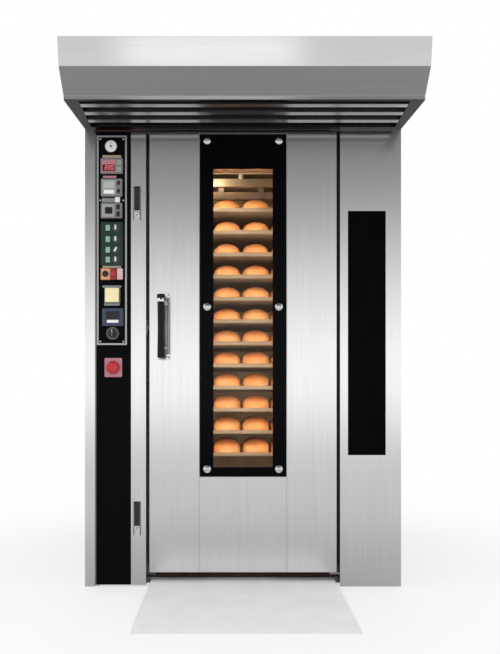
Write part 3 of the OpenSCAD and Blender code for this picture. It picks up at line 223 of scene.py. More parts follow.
def brushed(name, tone, rough, grain=(1, 1, 0.006), lines=650, depth=0.06, smear=0.06, warm=white[:3]):
    """Brushed steel: fine lines along the grain, broader streaks and wiped patches"""
    steel, tree, skin = new_finish(name)
    fine = grain_noise(tree, grain, lines)
    broad = grain_noise(tree, tuple(min(1, g * 3) for g in grain), lines / 7, 2.0)
    patch = grain_noise(tree, (1, 1, 0.6), 2.3, 4.0)
    streaks = sum_of(tree, fine, broad, 0.6)
    dark, light = (tuple(tone * change * part for part in warm) for change in (0.95, 1.05))
    feed(skin, Base_Color=tone_between(tree, streaks, dark, light, 0.45, 1.1),
         Roughness=spread(tree, sum_of(tree, fine, patch, 0.9), rough - smear, rough + smear),
         Normal=relief(tree, streaks, depth), Metallic=1.0)
    return steel


def multiplied(tree, first, second):
    return node_in(tree, "MixRGB", 1.0, first, second, blend_type="MULTIPLY").outputs["Color"]


def bare_colour(skin):
    return skin.inputs["Base Color"].links[0].from_socket


def toned_by_height(finish, foot, head, greys):
    """Multiplies the colour by greys that change in steps with the height on the piece"""
    tree, skin = surface_of(finish)
    height = node_in(tree, "SeparateXYZ", node_in(tree, "TexCoord").outputs["Object"]).outputs["Z"]
    share = node_in(tree, "MapRange", height, foot, head).outputs["Result"]
    feed(skin, Base_Color=multiplied(tree, bare_colour(skin), toned(tree, share, greys, "CONSTANT")))


def paint(piece, finish):
    piece.data.materials.clear()
    piece.data.materials.append(finish)
    return piece


def round_edges(piece, width, steps=2):
    """A modifier that rounds the edges sharper than 40 degrees by a width in millimetres"""
    rounded = piece.modifiers.new("rounded", "BEVEL")
    rounded.width = width * mm
    rounded.segments = steps
    rounded.limit_method = "ANGLE"
    rounded.angle_limit = math.radians(40)


def dress(node_names, finish, edge=0):
    """A finish on CAD nodes, with their sheet edges rounded by a few tenths of a millimetre"""
    for name in node_names:
        piece = paint(nodes[name], finish)
        if edge:
            piece.modifiers.new("joined", "WELD").merge_threshold = 0.00002
            round_edges(piece, edge)


casing_steel = brushed("casing steel", 0.70, 0.17, smear=0.04)
dress(["side_panels", "rear_panel", "left_front_post", "right_front_panel"], casing_steel)
dress(["roof_panel"], brushed("roof steel", 0.64, 0.38, grain=(1, 0.006, 1)))

# The surround is darkened as painted shade in the door gaps; its top edge is painted near black as the slit's
# shade.
surround_steel = brushed("shaded surround steel", 0.26, 0.30)
surround_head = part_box("door_surround")[1][2]
toned_by_height(surround_steel, surround_head - 0.0095, surround_head, [(0.0, 1.0), (0.1, 0.05)])
dress(["door_surround"], surround_steel)

# ---------------------------------------------------------------- casing screws
# Pan head screws hold the rear panel to the frame. Each is a low dome with a round recess, turned
# from stainless steel and pulled down on its washer.


def select_only(*pieces):
    """Object mode with only these pieces selected, the first of them active"""
    if bpy.context.object and bpy.context.object.mode != "OBJECT":
        bpy.ops.object.mode_set(mode="OBJECT")
    bpy.ops.object.select_all(action="DESELECT")
    for piece in pieces:
        piece.select_set(True)
    if pieces:
        bpy.context.view_layer.objects.active = pieces[0]


def settle(piece, turn=None, place=None):
    """Place, turn and size go into the mesh, and the faces point outwards"""
    piece.rotation_euler = turn or piece.rotation_euler
    piece.location = place or piece.location
    select_only(piece)
    bpy.ops.object.transform_apply(location=True, rotation=True, scale=True)
    bpy.ops.object.mode_set(mode="EDIT")
    bpy.ops.mesh.select_all(action="SELECT")
    bpy.ops.mesh.remove_doubles(threshold=0.000005)
    bpy.ops.mesh.normals_make_consistent(inside=False)
    bpy.ops.object.mode_set(mode="OBJECT")
    return piece


def turned(finish, rings, centre=(0, 0, 0), axis="Y", sides=32):
    """A turned piece: rings of (radius, distance along the axis) in millimetres, closed at both ends"""
    select_only()
    rings = [(radius * mm, out * mm) for radius, out in rings]
    bpy.ops.mesh.primitive_circle_add(vertices=sides, radius=rings[0][0], fill_type="NGON",
                                      location=(0, 0, rings[0][1]))
    piece = paint(bpy.context.object, finish)
    bpy.ops.object.transform_apply(location=True, rotation=False, scale=False)
    bpy.ops.object.mode_set(mode="EDIT")
    bpy.ops.mesh.select_mode(type="VERT")
    bpy.ops.mesh.select_all(action="SELECT")
    for before, after in zip(rings, rings[1:]):
        bpy.ops.mesh.extrude_region_move(TRANSFORM_OT_translate={"value": (0, 0, after[1] - before[1])})
        size = after[0] / before[0]
        bpy.ops.transform.resize(value=(size, size, 1), center_override=(0, 0, after[1]))
    quarter = math.radians(90)
    settle(piece, {"X": (0, quarter, 0), "Y": (-quarter, 0, 0), "-Y": (quarter, 0, 0), "Z": (0, 0, 0)}[axis],
           centre)
    bpy.ops.object.shade_smooth_by_angle(angle=math.radians(35))
    return piece


def copied(piece, place, turn=(0, 0, 0), size=(1, 1, 1)):
    """A copy with its own mesh, sized and turned about the origin and then moved"""
    twin = piece.copy()
    twin.data = piece.data.copy()
    scene.collection.objects.link(twin)
    twin.location, twin.rotation_euler, twin.scale = place, turn, size
    select_only(twin)
    bpy.ops.object.transform_apply(location=True, rotation=True, scale=True)
    return twin


def repeated(piece, places, turn=(0, 0, 0)):
    """Copies at all the places, in place of the piece itself"""
    copies = [copied(piece, place, turn) for place in places]
    bpy.data.objects.remove(piece)
    return copies


def joined(parts):
    select_only(*parts)
    if len(parts) > 1:
        bpy.ops.object.join()
    return parts[0]


def fit_up(name, parts, body, slot, *stands_for):
    """The parts, joined, ride on their body and hide the nodes they stand for. The slot is not used."""
    piece = joined(parts)
    piece.name = name
    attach(piece, body)
    if stands_for:
        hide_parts(*stands_for)


rear_y, body_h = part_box("rear_panel")[1][1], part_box("rear_panel")[1][2]
screw_steel = brushed("screw steel", 0.70, 0.30, grain=(1, 1, 1), lines=900, smear=0.05)
screw = turned(screw_steel, [(5, 0), (6.2, 0.2), (6.2, 0.8), (4.5, 1.2), (4.2, 2.6), (3, 3.4), (1.2, 3.6),
                             (1, 2.4)], axis="-Y", sides=12)
places = [(x, rear_y, z) for x in (-0.69, -0.345, 0, 0.345, 0.69) for z in (0.06, 0.80, 1.54, 2.22)]
fit_up("rear_screws", repeated(screw, places, turn=(0, 0, math.pi)), "casing", "skin_steel")

# ---------------------------------------------------------------- rear louvres
# Louvres over the cooling slots of the rear panel: short pressed hoods, open at their lower side, that
# shed water and keep fingers out.


def select_where(piece, kind, wanted):
    """Edit mode with only the wanted vertices, edges or faces selected"""
    bpy.ops.object.mode_set(mode="EDIT")
    bpy.ops.mesh.select_mode(type=kind)
    bpy.ops.mesh.select_all(action="DESELECT")
    shape = bmesh.from_edit_mesh(piece.data)
    for element in {"VERT": shape.verts, "EDGE": shape.edges, "FACE": shape.faces}[kind]:
        element.select = wanted(element)
    bmesh.update_edit_mesh(piece.data)


def round_where(piece, wanted, width):
    select_where(piece, "EDGE", wanted)
    bpy.ops.mesh.bevel(offset=width * mm, segments=5, affect="EDGES")
    bpy.ops.object.mode_set(mode="OBJECT")


def pressed(finish, low, high, edge=1, steps=2, corner=0, along="Y"):
    """A block between two corners in metres. Its edges, and first its corners along an axis, are
    rounded by so many millimetres"""
    select_only()
    bpy.ops.mesh.primitive_cube_add(size=1, location=[(a + b) / 2 for a, b in zip(low, high)])
    piece = paint(bpy.context.object, finish)
    piece.scale = [b - a for a, b in zip(low, high)]
    settle(piece)
    if corner:
        axis = "XYZ".index(along)
        round_where(piece, lambda line: abs(line.verts[1].co[axis] - line.verts[0].co[axis])
                    > 0.9 * line.calc_length(), corner)
    if edge:
        round_edges(piece, edge, steps)
        bpy.ops.object.modifier_apply(modifier="rounded")
    return piece


louvre = pressed(casing_steel, (-0.114, 0, 0), (0.114, 0.011, 0.014), edge=0)
round_where(louvre, lambda line: all(v.co.y > 0.01 and v.co.z > 0.013 for v in line.verts), 9.5)
places = [(x, rear_y, body_h - 0.240 + row * 0.024) for x in (-0.36, 0.36) for row in range(8)]
fit_up("rear_louvres", repeated(louvre, places), "casing", "skin_steel")

# ---------------------------------------------------------------- base frame
# Two long bars and four cross bars of mild steel, welded and dipped in grey paint, which the pallet
# truck has scuffed.


def painted(name, tone, worn, rough=0.45, metal=0.0, size=60):
    """Paint with an orange peel, slight dirt and rubbed spots"""
    coat, tree, skin = new_finish(name)
    peel = grain_noise(tree, (1, 1, 1), size * 12, 2.0)
    dirt = grain_noise(tree, (1, 1, 0.5), size * 0.15, 5.0)
    feed(skin, Base_Color=tone_between(tree, dirt, tone, worn, 0.35, 0.75),
         Roughness=spread(tree, dirt, rough - 0.08, rough + 0.1), Normal=relief(tree, peel, 0.12),
         Metallic=metal)
    return coat


dress(["base_frame"], painted("grey frame paint", (0.16, 0.165, 0.17), (0.24, 0.24, 0.24)), edge=1.5)

# ---------------------------------------------------------------- black plate
# A plain black plate on the right column, cut from 3 mm sheet with rounded edges. It is enamelled
# black with a satin face.


def enamel(name, tone, rough, shine=0.25, size=90):
    """Dark, smooth plastic or enamel with fine dust and a faint unevenness"""
    coat, tree, skin = new_finish(name)
    dust = grain_noise(tree, (1, 1, 0.7), size * 0.08, 6.0)
    peel = grain_noise(tree, (1, 1, 1), size * 5, 2.0)
    dusty = tuple(min(1, part * 1.25 + 0.001) for part in tone)
    feed(skin, Base_Color=tone_between(tree, dust, tone, dusty, 0.3, 0.8),
         Roughness=spread(tree, dust, rough * 0.8, rough * 1.25), Normal=relief(tree, peel, 0.03),
         Specular_IOR_Level=shine)
    return coat


dress(["badge_plate"], enamel("black enamel", (0.0006, 0.0006, 0.0014), 0.34, shine=0.03), edge=0.8)

# ---------------------------------------------------------------- hood
# The extractor hood is bent from 2 mm stainless steel: a leaning front band, a slanted sheet under it
# and a narrow lip. Its grain runs along the front; its lower faces carry painted shade.


# Painted shade lies in grey bands of height: the lip, the slanted sheet's foot, the sheet and the front.
hood_steel = brushed("hood steel", 0.66, 0.30, grain=(0.006, 1, 1))
hood_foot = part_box("hood_shell")[0][2]
toned_by_height(hood_steel, hood_foot, hood_foot + 0.110,
                [(0.0, 0.07), (0.023, 0.78), (0.16, 0.50), (0.905, 1.0)])

# Faces turned inwards or down are painted near black as shade.
tree, skin = surface_of(hood_steel)
facing = node_in(tree, "SeparateXYZ", node_in(tree, "TexCoord").outputs["Normal"]).outputs
inwards = reckoned(tree, "GREATER_THAN", facing["Y"], 0.3)
downwards = reckoned(tree, "LESS_THAN", facing["Z"], -0.9)
sooty = reckoned(tree, "MAXIMUM", inwards, downwards)
sooted = node_in(tree, "MixRGB", sooty, bare_colour(skin), (0.05, 0.045, 0.042, 1))
feed(skin, Base_Color=sooted.outputs["Color"])
dress(["hood_shell"], hood_steel)
dress(["hood_slats"], brushed("slat steel", 0.58, 0.30, grain=(0.006, 1, 1), warm=(1, 0.99, 1.0)))

# ---------------------------------------------------------------- ramp
# The ramp is one plate of pale pickled steel, welded to three ribs that rest on the floor. Castors
# have scuffed it along their way in.
ramp_steel, tree, skin = new_finish("ramp steel")
cloud = grain_noise(tree, (1, 1, 1), 9, 6.0)
scuff = grain_noise(tree, (1, 0.05, 1), 260, 3.0)
feed(skin, Base_Color=tone_between(tree, cloud, (0.90, 0.905, 0.91), (0.96, 0.96, 0.96)),
     Roughness=spread(tree, sum_of(tree, cloud, scuff, 0.4), 0.38, 0.62), Normal=relief(tree, scuff, 0.05),
     Metallic=0.12)
dress(["ramp"], ramp_steel, edge=0.8)

# ---------------------------------------------------------------- oven door leaf
# The leaf is a case of 2 mm sheet, faced with four brushed panels round the window. The right stile
# turns on two hidden pins.
door_steel = brushed("door steel", 0.70, 0.17, smear=0.04)
dress(["door_panels"], door_steel, edge=0.6)
dress(["door_core"], brushed("inner steel", 0.55, 0.40), edge=0.8)

# ---------------------------------------------------------------- window
# Two panes of toughened glass. The outer one has a black enamelled border and six polished caps over
# its fixing screws.
dress(["window_frame"], enamel("black glass", (0.0012, 0.0012, 0.0022), 0.10, shine=0.035), edge=0.4)
clear_glass, tree, skin = new_finish("clear glass")
smudge = grain_noise(tree, (1, 1, 0.5), 4, 5.0)
feed(skin, Base_Color=tone_between(tree, smudge, (0.96, 0.975, 0.97), (1, 1, 1)),
     Roughness=spread(tree, smudge, 0.0, 0.015), Transmission_Weight=1.0, IOR=1.10)
dress(["window_glass"], clear_glass)

polished = brushed("polished steel", 0.66, 0.20, grain=(1, 1, 1), lines=500, depth=0.01, smear=0.05)
cap_r = 0.017
cap_mid_z = 1.265
cap = turned(polished, [(16, 0), (17, 1), (17, 2.2), (15.8, 3.4), (12, 5.5), (6.5, 6.6), (5.2, 6.8),
                        (4.6, 4)], axis="-Y", sides=36)
pane_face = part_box("window_frame")[0][1]
cap_low, cap_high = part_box("window_caps")
places = [(x, pane_face, z) for x in (cap_low[0] + cap_r, cap_high[0] - cap_r)
          for z in (cap_low[2] + cap_r, cap_mid_z, cap_high[2] - cap_r)]
fit_up("window_cap_set", repeated(cap, places), "door", "bright_chrome", "window_caps")

# ---------------------------------------------------------------- baking chamber
# The chamber's walls, rear and ceiling are heat resistant steel sheets. Years of baking have coloured
# them straw and brown in clouds.


def heat_tinted(name, tone, rough, straw=(1.0, 0.86, 0.62), brown=(0.62, 0.50, 0.42), metal=1.0):
    """Brushed steel under clouds of straw and brown"""
    steel = brushed(name, tone, rough)
    tree, skin = surface_of(steel)
    clouds = grain_noise(tree, (1, 1, 0.5), 3.0, 6.0)
    tint = tone_between(tree, clouds, straw, brown, 0.35, 0.7)
    feed(skin, Base_Color=multiplied(tree, bare_colour(skin), tint), Metallic=metal)
    return steel


chamber_steel = heat_tinted("chamber steel", 0.50, 0.42, straw=(1.0, 0.76, 0.48), brown=(0.60, 0.41, 0.28))
dress(["chamber_liner", "fan_housing", "fan_impeller"], chamber_steel)
floor_steel = heat_tinted("oven floor steel", 0.40, 0.50)
dress(["floor_plate"], floor_steel)

# ---------------------------------------------------------------- insulation
# Slabs of yellowish mineral wool, pressed between the lining and the casing. Short fibres lie in all
# directions across their faces.
wool, tree, skin = new_finish("mineral wool")
lumps = grain_noise(tree, (1, 1, 1), 14, 6.0)
fibres = grain_noise(tree, (1, 0.15, 1), 700, 4.0)
feed(skin, Base_Color=tone_between(tree, lumps, (0.46, 0.36, 0.15), (0.66, 0.55, 0.29)), Roughness=0.95,
     Normal=relief(tree, sum_of(tree, lumps, fibres, 0.8), 4))
dress(["insulation"], wool)

# ---------------------------------------------------------------- heat exchanger and steam cascade
# Welded from thick heat resistant steel, scaled dark by the flame. The cascade bars in the right duct
# are the same steel with lime on them.


def scaled(name, dark, light, rough=0.7):
    """Steel under a skin of scale: blotches with a coarse, flaky relief"""
    crusted, tree, skin = new_finish(name)
    blotch = grain_noise(tree, (1, 1, 1), 8, 8.0)
    flakes = grain_noise(tree, (1, 1, 1), 160, 5.0)
    feed(skin, Base_Color=tone_between(tree, blotch, dark, light),
         Roughness=spread(tree, flakes, rough - 0.12, rough + 0.1),
         Normal=relief(tree, sum_of(tree, blotch, flakes, 0.5), 0.6), Metallic=0.6)
    return crusted


flame_scale = scaled("scaled steel", (0.10, 0.075, 0.06), (0.28, 0.20, 0.15))
dress(["heat_exchanger"], flame_scale)
dress(["steam_generator"], scaled("limed steel", (0.20, 0.18, 0.16), (0.52, 0.50, 0.46), 0.6))

# ---------------------------------------------------------------- chamber lamps
# Four bulkhead lamps on the inner side of the door stops. Each is a pressed base with a clip at both
# ends and a ribbed heat proof glass, which glows warm.
lamp_glass, tree, skin = new_finish("lamp glass")
frost = grain_noise(tree, (1, 1, 1), 120, 3.0)
feed(skin, Base_Color=tone_between(tree, frost, (1.0, 0.78, 0.48), (1.0, 0.86, 0.62)),
     Emission_Color=tone_between(tree, frost, (1.0, 0.55, 0.22), (1.0, 0.66, 0.34)),
     Roughness=spread(tree, frost, 0.15, 0.4), Emission_Strength=5.0)

lamps_low, lamps_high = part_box("oven_lamps")
lamp_half_w = 0.024
lamp_h = 0.190
ribs, rib_pitch = 11, 0.015


def lamp_slab(finish, half_w, near, far, low, high, *roundings):
    """A block of the lamp whose middle is set, at distances from the door stop's face"""
    return pressed(finish, (middle - half_w, lamps_low[1] + near, low),
                   (middle + half_w, lamps_low[1] + far, high), *roundings)


parts = []
for side in (-1, 1):
    middle = side * (lamps_high[0] - lamp_half_w)
    for foot in (lamps_low[2], lamps_high[2] - lamp_h):
        top = foot + lamp_h
        parts.append(lamp_slab(floor_steel, lamp_half_w, 0, 0.006, foot, top, 1.5, 2, 8))
        parts.append(lamp_slab(lamp_glass, 0.018, 0.005, 0.0185, foot + 0.010, top - 0.010, 6, 3))
        for z in (foot + 0.020 + rib * rib_pitch for rib in range(ribs)):
            parts.append(lamp_slab(lamp_glass, 0.017, 0.0175, 0.020, z - 0.004, z + 0.004, 1.2))
        for z in (foot + 0.004, top - 0.004):
            parts.append(lamp_slab(screw_steel, 0.008, 0.005, 0.012, z - 0.0035, z + 0.0035))
fit_up("bulkhead_lamps", parts, "casing", "lamp_glass", "oven_lamps")

# Their warm light comes back from the door's inner side and falls evenly on the front of the rack.
for name, place, aim, width, height, watts in (
        ("warm_front", (0, -0.435, 1.20), (0, 0, 1.20), 0.30, 1.50, 3.5),
        ("warm_left", (-0.37, -0.37, 1.20), (-0.02, -0.16, 1.20), 0.05, 1.50, 4.2),
        ("warm_right", (0.37, -0.37, 1.20), (0.02, -0.16, 1.20), 0.05, 1.50, 3.4),
        ("warm_rear", (0, 0.25, 1.20), (0, 0.45, 1.20), 0.55, 1.60, 0.35),
        ("warm_head", (-0.22, -0.355, 1.955), (-0.14, -0.20, 1.94), 0.26, 0.03, 1.2)):
    warm_lamp = soft_lamp(name, place, aim, width, height, watts, (1.0, 0.76, 0.52))
    warm_lamp.visible_glossy = name != "warm_front"
    warm_lamp.visible_transmission = False

# ---------------------------------------------------------------- turntable and drive
# A bevelled plate of 8 mm steel, rubbed bright by the castors, with its hub in the floor. The shaft
# comes down through the ceiling to a fork that turns the rack.
dress(["turntable"], heat_tinted("turntable steel", 0.55, 0.36, brown=(0.80, 0.70, 0.60)))
dress(["drive_shaft"], brushed("shaft steel", 0.58, 0.28, grain=(1, 1, 0.05), lines=300), edge=0.8)

# ---------------------------------------------------------------- rack
# Square stainless tube, welded, with runner angles up both sides. The tubes are ground at their
# welds.
dress(["rack_frame"], heat_tinted("rack steel", 0.62, 0.33, brown=(0.86, 0.76, 0.64)))

# ---------------------------------------------------------------- trays
# Shallow baking trays of aluminised sheet with rounded corners and a turned rim. They are tinted
# in clouds of straw and brown.
tray_metal = heat_tinted("tray aluminium", 0.30, 0.40, (1.0, 0.84, 0.66), (0.72, 0.56, 0.42), metal=0.40)
trays_low, trays_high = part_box("trays")
tray_pitch = 0.112
tray_count = 15
tray_h, tray_floor, tray_rim = 0.018, 0.002, 0.003
pan = pressed(tray_metal, (trays_low[0], trays_low[1], 0), (trays_high[0], trays_high[1], tray_h), 0,
              corner=14, along="Z")
select_where(pan, "FACE", lambda face: face.normal.z > 0.9)
bpy.ops.mesh.inset(thickness=tray_rim, depth=0)
bpy.ops.mesh.extrude_region_move(TRANSFORM_OT_translate={"value": (0, 0, tray_floor - tray_h)})
bpy.ops.transform.resize(value=(0.99, 0.985, 1), center_override=(0, 0, tray_floor))
bpy.ops.object.mode_set(mode="OBJECT")
round_edges(pan, 1.1)
bpy.ops.object.modifier_apply(modifier="rounded")
bpy.ops.object.shade_smooth_by_angle(angle=math.radians(35))
places = [(0, 0, trays_low[2] + i * tray_pitch) for i in range(tray_count)]
fit_up("tray_set", repeated(pan, places), "carousel", "tray_aluminium", "trays")

# ---------------------------------------------------------------- loaves
# Long loaves lie side by side on the upper twelve trays, glazed and baked golden brown. Each has risen
# a little differently, pale at its foot and darkest on its crown.
crust, tree, skin = new_finish("crust")
baked = node_in(tree, "Attribute", attribute_name="baked").outputs["Fac"]
mottle = grain_noise(tree, (1, 0.6, 1), 28, 6.0)
pores = grain_noise(tree, (1, 1, 1), 420, 4.0)
bakes = toned(tree, sum_of(tree, baked, mottle, 0.45),
              [(0.10, (0.80, 0.52, 0.30)), (0.375, (0.78, 0.43, 0.19)), (0.70833, (0.62, 0.29, 0.11)),
               (0.95833, (0.42, 0.16, 0.055))])
heat_spots = tone_between(tree, grain_noise(tree, (1, 0.1, 1), 6.5, 1.0), (1.0, 0.90, 0.82), (0.94, 1.0, 1.0),
                          0.42, 0.60)
feed(skin, Base_Color=multiplied(tree, bakes, heat_spots), Roughness=spread(tree, mottle, 0.34, 0.58),
     Normal=relief(tree, sum_of(tree, mottle, pores, 0.3), 1.2))

loaf_half_w = 0.0737
loaf_half_l = 0.175
loaf_crown = 0.086
loaf_tuck = 0.021


def loaf(seed):
    """A risen loaf: a long dome, widest above its foot, flat where it lies"""
    select_only()
    bpy.ops.mesh.primitive_uv_sphere_add(segments=32, ring_count=20, radius=1,
                                         rotation=(math.radians(90), 0, 0))
    piece = paint(settle(bpy.context.object), crust)
    lot = random.Random(seed)
    swell = [(lot.uniform(3, 7), lot.uniform(0, 6.3), lot.uniform(-0.02, 0.02)) for _ in range(3)]
    lean = lot.uniform(-0.05, 0.05)
    shape = bmesh.new()
    shape.from_mesh(piece.data)
    for v in shape.verts:
        length = abs(v.co.y)
        fuller = (1 - length ** 5.0) ** 0.5 / max((1 - min(length, 0.999) ** 2) ** 0.5, 0.05)
        upright = min(abs(v.co.z) / max((1 - length ** 2) ** 0.5, 0.02), 1.0)
        shoulder = (1 - upright ** 3.0) ** 0.5 / max((1 - min(upright, 0.999) ** 2) ** 0.5, 0.05)
        bulge = 1 + sum(depth * math.sin(turns * v.co.y + start) for turns, start, depth in swell)
        v.co.x = (v.co.x * fuller * bulge * min(shoulder, 1.25) + lean * max(v.co.z, 0)) * loaf_half_w
        height = v.co.z * fuller * bulge * (loaf_crown - loaf_tuck) + loaf_tuck
        v.co.z = max(0.0, min(height, loaf_crown + 0.002))
        v.co.y *= loaf_half_l
    bmesh.ops.remove_doubles(shape, verts=shape.verts, dist=0.0004)
    shape.to_mesh(piece.data)
    shape.free()
    for face in piece.data.polygons:
        face.use_smooth = True
    brown = piece.data.attributes.new("baked", "FLOAT", "POINT")
    for v, value in zip(piece.data.vertices, brown.data):
        edge = abs(v.co.x) / loaf_half_w
        value.value = max(0.0, v.co.z / loaf_crown - 0.25 * edge ** 3)
    return piece


tray_bed = trays_low[2] + 0.0022
tray_empty = 3
loaf_pitch = 0.1475
kinds = [loaf(seed) for seed in range(4)]
batch = []
order = random.Random(7)
for row in range(tray_empty, tray_count):
    for column in (-1.5, -0.5, 0.5, 1.5):
        turn = (0, 0, math.pi * order.randrange(2))
        grown = order.uniform(0.975, 1.0)
        place = (column * loaf_pitch, 0, tray_bed + row * tray_pitch)
        batch.append(copied(order.choice(kinds), place, turn, (grown, 1.0, grown)))
for kind in kinds:
    bpy.data.objects.remove(kind)
fit_up("bread_loaves", batch, "carousel", "crust", "loaves")

# ---------------------------------------------------------------- rack castors
# Four castors under the rack, each a heat proof resin wheel with a domed tread on a bushed hub. Their
# forks are zinc plated.
zinc = brushed("zinc plate", 0.50, 0.36, grain=(1, 1, 1), lines=90, depth=0.04, smear=0.12,
               warm=(1, 0.97, 0.90))
dress(["castor_swivel_left", "castor_swivel_right", "latch_bolt"], zinc, edge=0.5)
wheel_low, wheel_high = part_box("castor_wheel_front_left")
wheel_r = (wheel_high[2] - wheel_low[2]) / 2 / mm
hub_half = (wheel_high[0] - wheel_low[0]) / 2 / mm
wheel_x = (wheel_low[0] + wheel_high[0]) / 2
half_rim = [(5.2, hub_half), (14, hub_half), (15, hub_half - 1), (15, 12.8), (23.5, 11.8), (26, 9.5),
            (31, 10), (34.5, 13), (wheel_r - 1.2, 11), (wheel_r, 7)]
wheel = turned(enamel("wheel resin", (0.030, 0.024, 0.020), 0.50, shine=0.35),
               [(r, -out) for r, out in half_rim] + half_rim[::-1], axis="X", sides=40)
for node, name, body, across in (
        ("castor_wheel_front_left", "front_left_wheel", "wheel_left", [wheel_x]),
        ("castor_wheel_front_right", "front_right_wheel", "wheel_right", [-wheel_x]),
        ("castor_wheels_rear", "rear_wheels", "wheels_rear", [wheel_x, -wheel_x])):
    (_, *low), (_, *high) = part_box(node)
    axle = [(a + b) / 2 for a, b in zip(low, high)]
    fit_up(name, [copied(wheel, (x, *axle)) for x in across], body, "wheel_resin", node)
bpy.data.objects.remove(wheel)

# ---------------------------------------------------------------- door seal
# A soft strip of dark red-brown silicone, pressed into the leaf's rear face all round, with a wiper
# at its foot.
silicone = enamel("silicone", (0.045, 0.014, 0.011), 0.55, shine=0.3)
dress(["door_seal"], silicone, edge=3)

# ---------------------------------------------------------------- door handle
# A back plate of the door's steel, held by four screws, with two lugs. The waisted grip is black
# plastic on two steel arms, with a bright ring and a cap at its head.
base_low, base_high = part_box("door_handle_base")
lever_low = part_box("door_handle_lever")[0]
door_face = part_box("door_panels")[0][1]
grip_x, grip_y = lever_low[0] + 0.019, lever_low[1] + 0.019
pin_x, pin_y = grip_x + 0.029, door_face - 0.022
parts = [pressed(door_steel, (base_low[0], door_face - 0.004, base_low[2]),
                 (base_high[0], door_face, base_high[2]), 1.2, 3, corner=9)]
for z in (base_low[2] + 0.014, base_high[2] - 0.024):
    parts.append(pressed(door_steel, (pin_x - 0.009, pin_y - 0.009, z),
                         (pin_x + 0.009, door_face - 0.002, z + 0.010), 1.2, corner=4, along="Z"))
plate_screw = turned(door_steel, [(4.8, 0), (5, 0.6), (4, 1.8), (2, 2.2), (1.8, 0.8)], axis="-Y", sides=16)
parts += repeated(plate_screw, [(x, door_face - 0.004, z) for x in (base_low[0] + 0.009, base_high[0] - 0.008)
                                for z in (base_low[2] + 0.008, base_high[2] - 0.008)])
fit_up("handle_plate", parts, "door", "bright_chrome", "door_handle_base")

grip_plastic = enamel("grip plastic", (0.0035, 0.0035, 0.0040), 0.38, shine=0.22)
chrome = brushed("chrome", 0.80, 0.14, grain=(1, 1, 1), lines=300, depth=0.01, smear=0.04)
# The pin and its arms are darkened steel, a painted shade so the pin reads as the shadow line by the grip.
pin_steel = brushed("pin steel darkened as shade", 0.30, 0.30, grain=(1, 1, 0.02), lines=300)
foot_z = lever_low[2]
ring_z = foot_z + 0.249
grip = turned(grip_plastic, [(10, 0), (14.8, 1.5), (16.2, 6), (16.2, 20), (15, 90), (14.7, 140), (15.2, 200),
                             (16, 240), (15.8, 248), (12, 248.8)], (grip_x, grip_y, foot_z), "Z", 40)
ring = turned(chrome, [(13, 0), (14.8, 1), (15, 2), (15, 15), (14, 16.8)], (grip_x, grip_y, ring_z), "Z", 40)
head = turned(grip_plastic, [(15, 0), (18.5, 1.2), (19, 4), (18.8, 13), (15, 17.2), (6, 18)],
              (grip_x, grip_y, ring_z + 0.017), "Z", 40)
pin = turned(pin_steel, [(3.6, 0), (4, 0.6), (4, 12), (7.8, 12.5), (8, 13.5), (8, 255), (7.8, 256),
                         (4, 256.6), (4, 275.6), (3.4, 276.2)], (pin_x, pin_y, foot_z + 0.006), "Z", 24)
parts = [grip, ring, head, pin]
for z in (foot_z + 0.038, ring_z - 0.014):
    arm = pressed(pin_steel, (-0.013, -0.0055, 0), (0.020, 0.0055, 0.012), 1.6, 3)
    parts.append(settle(arm, (0, 0, math.atan2(pin_y - grip_y, pin_x - grip_x)),
                        ((grip_x + pin_x) / 2, (grip_y + pin_y) / 2, z)))
fit_up("handle_grip", parts, "handle", "grip_plastic", "door_handle_lever")

# ---------------------------------------------------------------- service door
# The left column's front is a folded sheet on two hinge pins. A black anodised panel with the controls
# is glued over its left part.
dress(["service_door"], casing_steel, edge=0.4)
dress(["control_panel"], enamel("panel black", (0.0012, 0.0012, 0.0020), 0.42, shine=0.05, size=60))

# A strip of the seal's silicone closes the slit above the service door.
leaf_low, leaf_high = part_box("service_door")
fit_up("head_strip", [pressed(silicone, (leaf_low[0], leaf_low[1] + 0.002, leaf_high[2] + 0.0006),
                              (leaf_high[0], leaf_low[1] + 0.009, leaf_high[2] + 0.0086), 1.5, 3)],
       "casing", "silicone")

# A steel cheek closes the casing's left side over the corner post, up to the roof.
post_low, post_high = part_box("left_front_post")
roof_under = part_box("side_panels")[1][2]
fit_up("head_cheek", [pressed(casing_steel, (post_low[0], post_low[1] + 0.0022, post_high[2] + 0.0002),
                              (post_low[0] + 0.0015, post_low[1] + 0.0418, roof_under - 0.0002), 0.3)],
       "casing", "skin_steel")

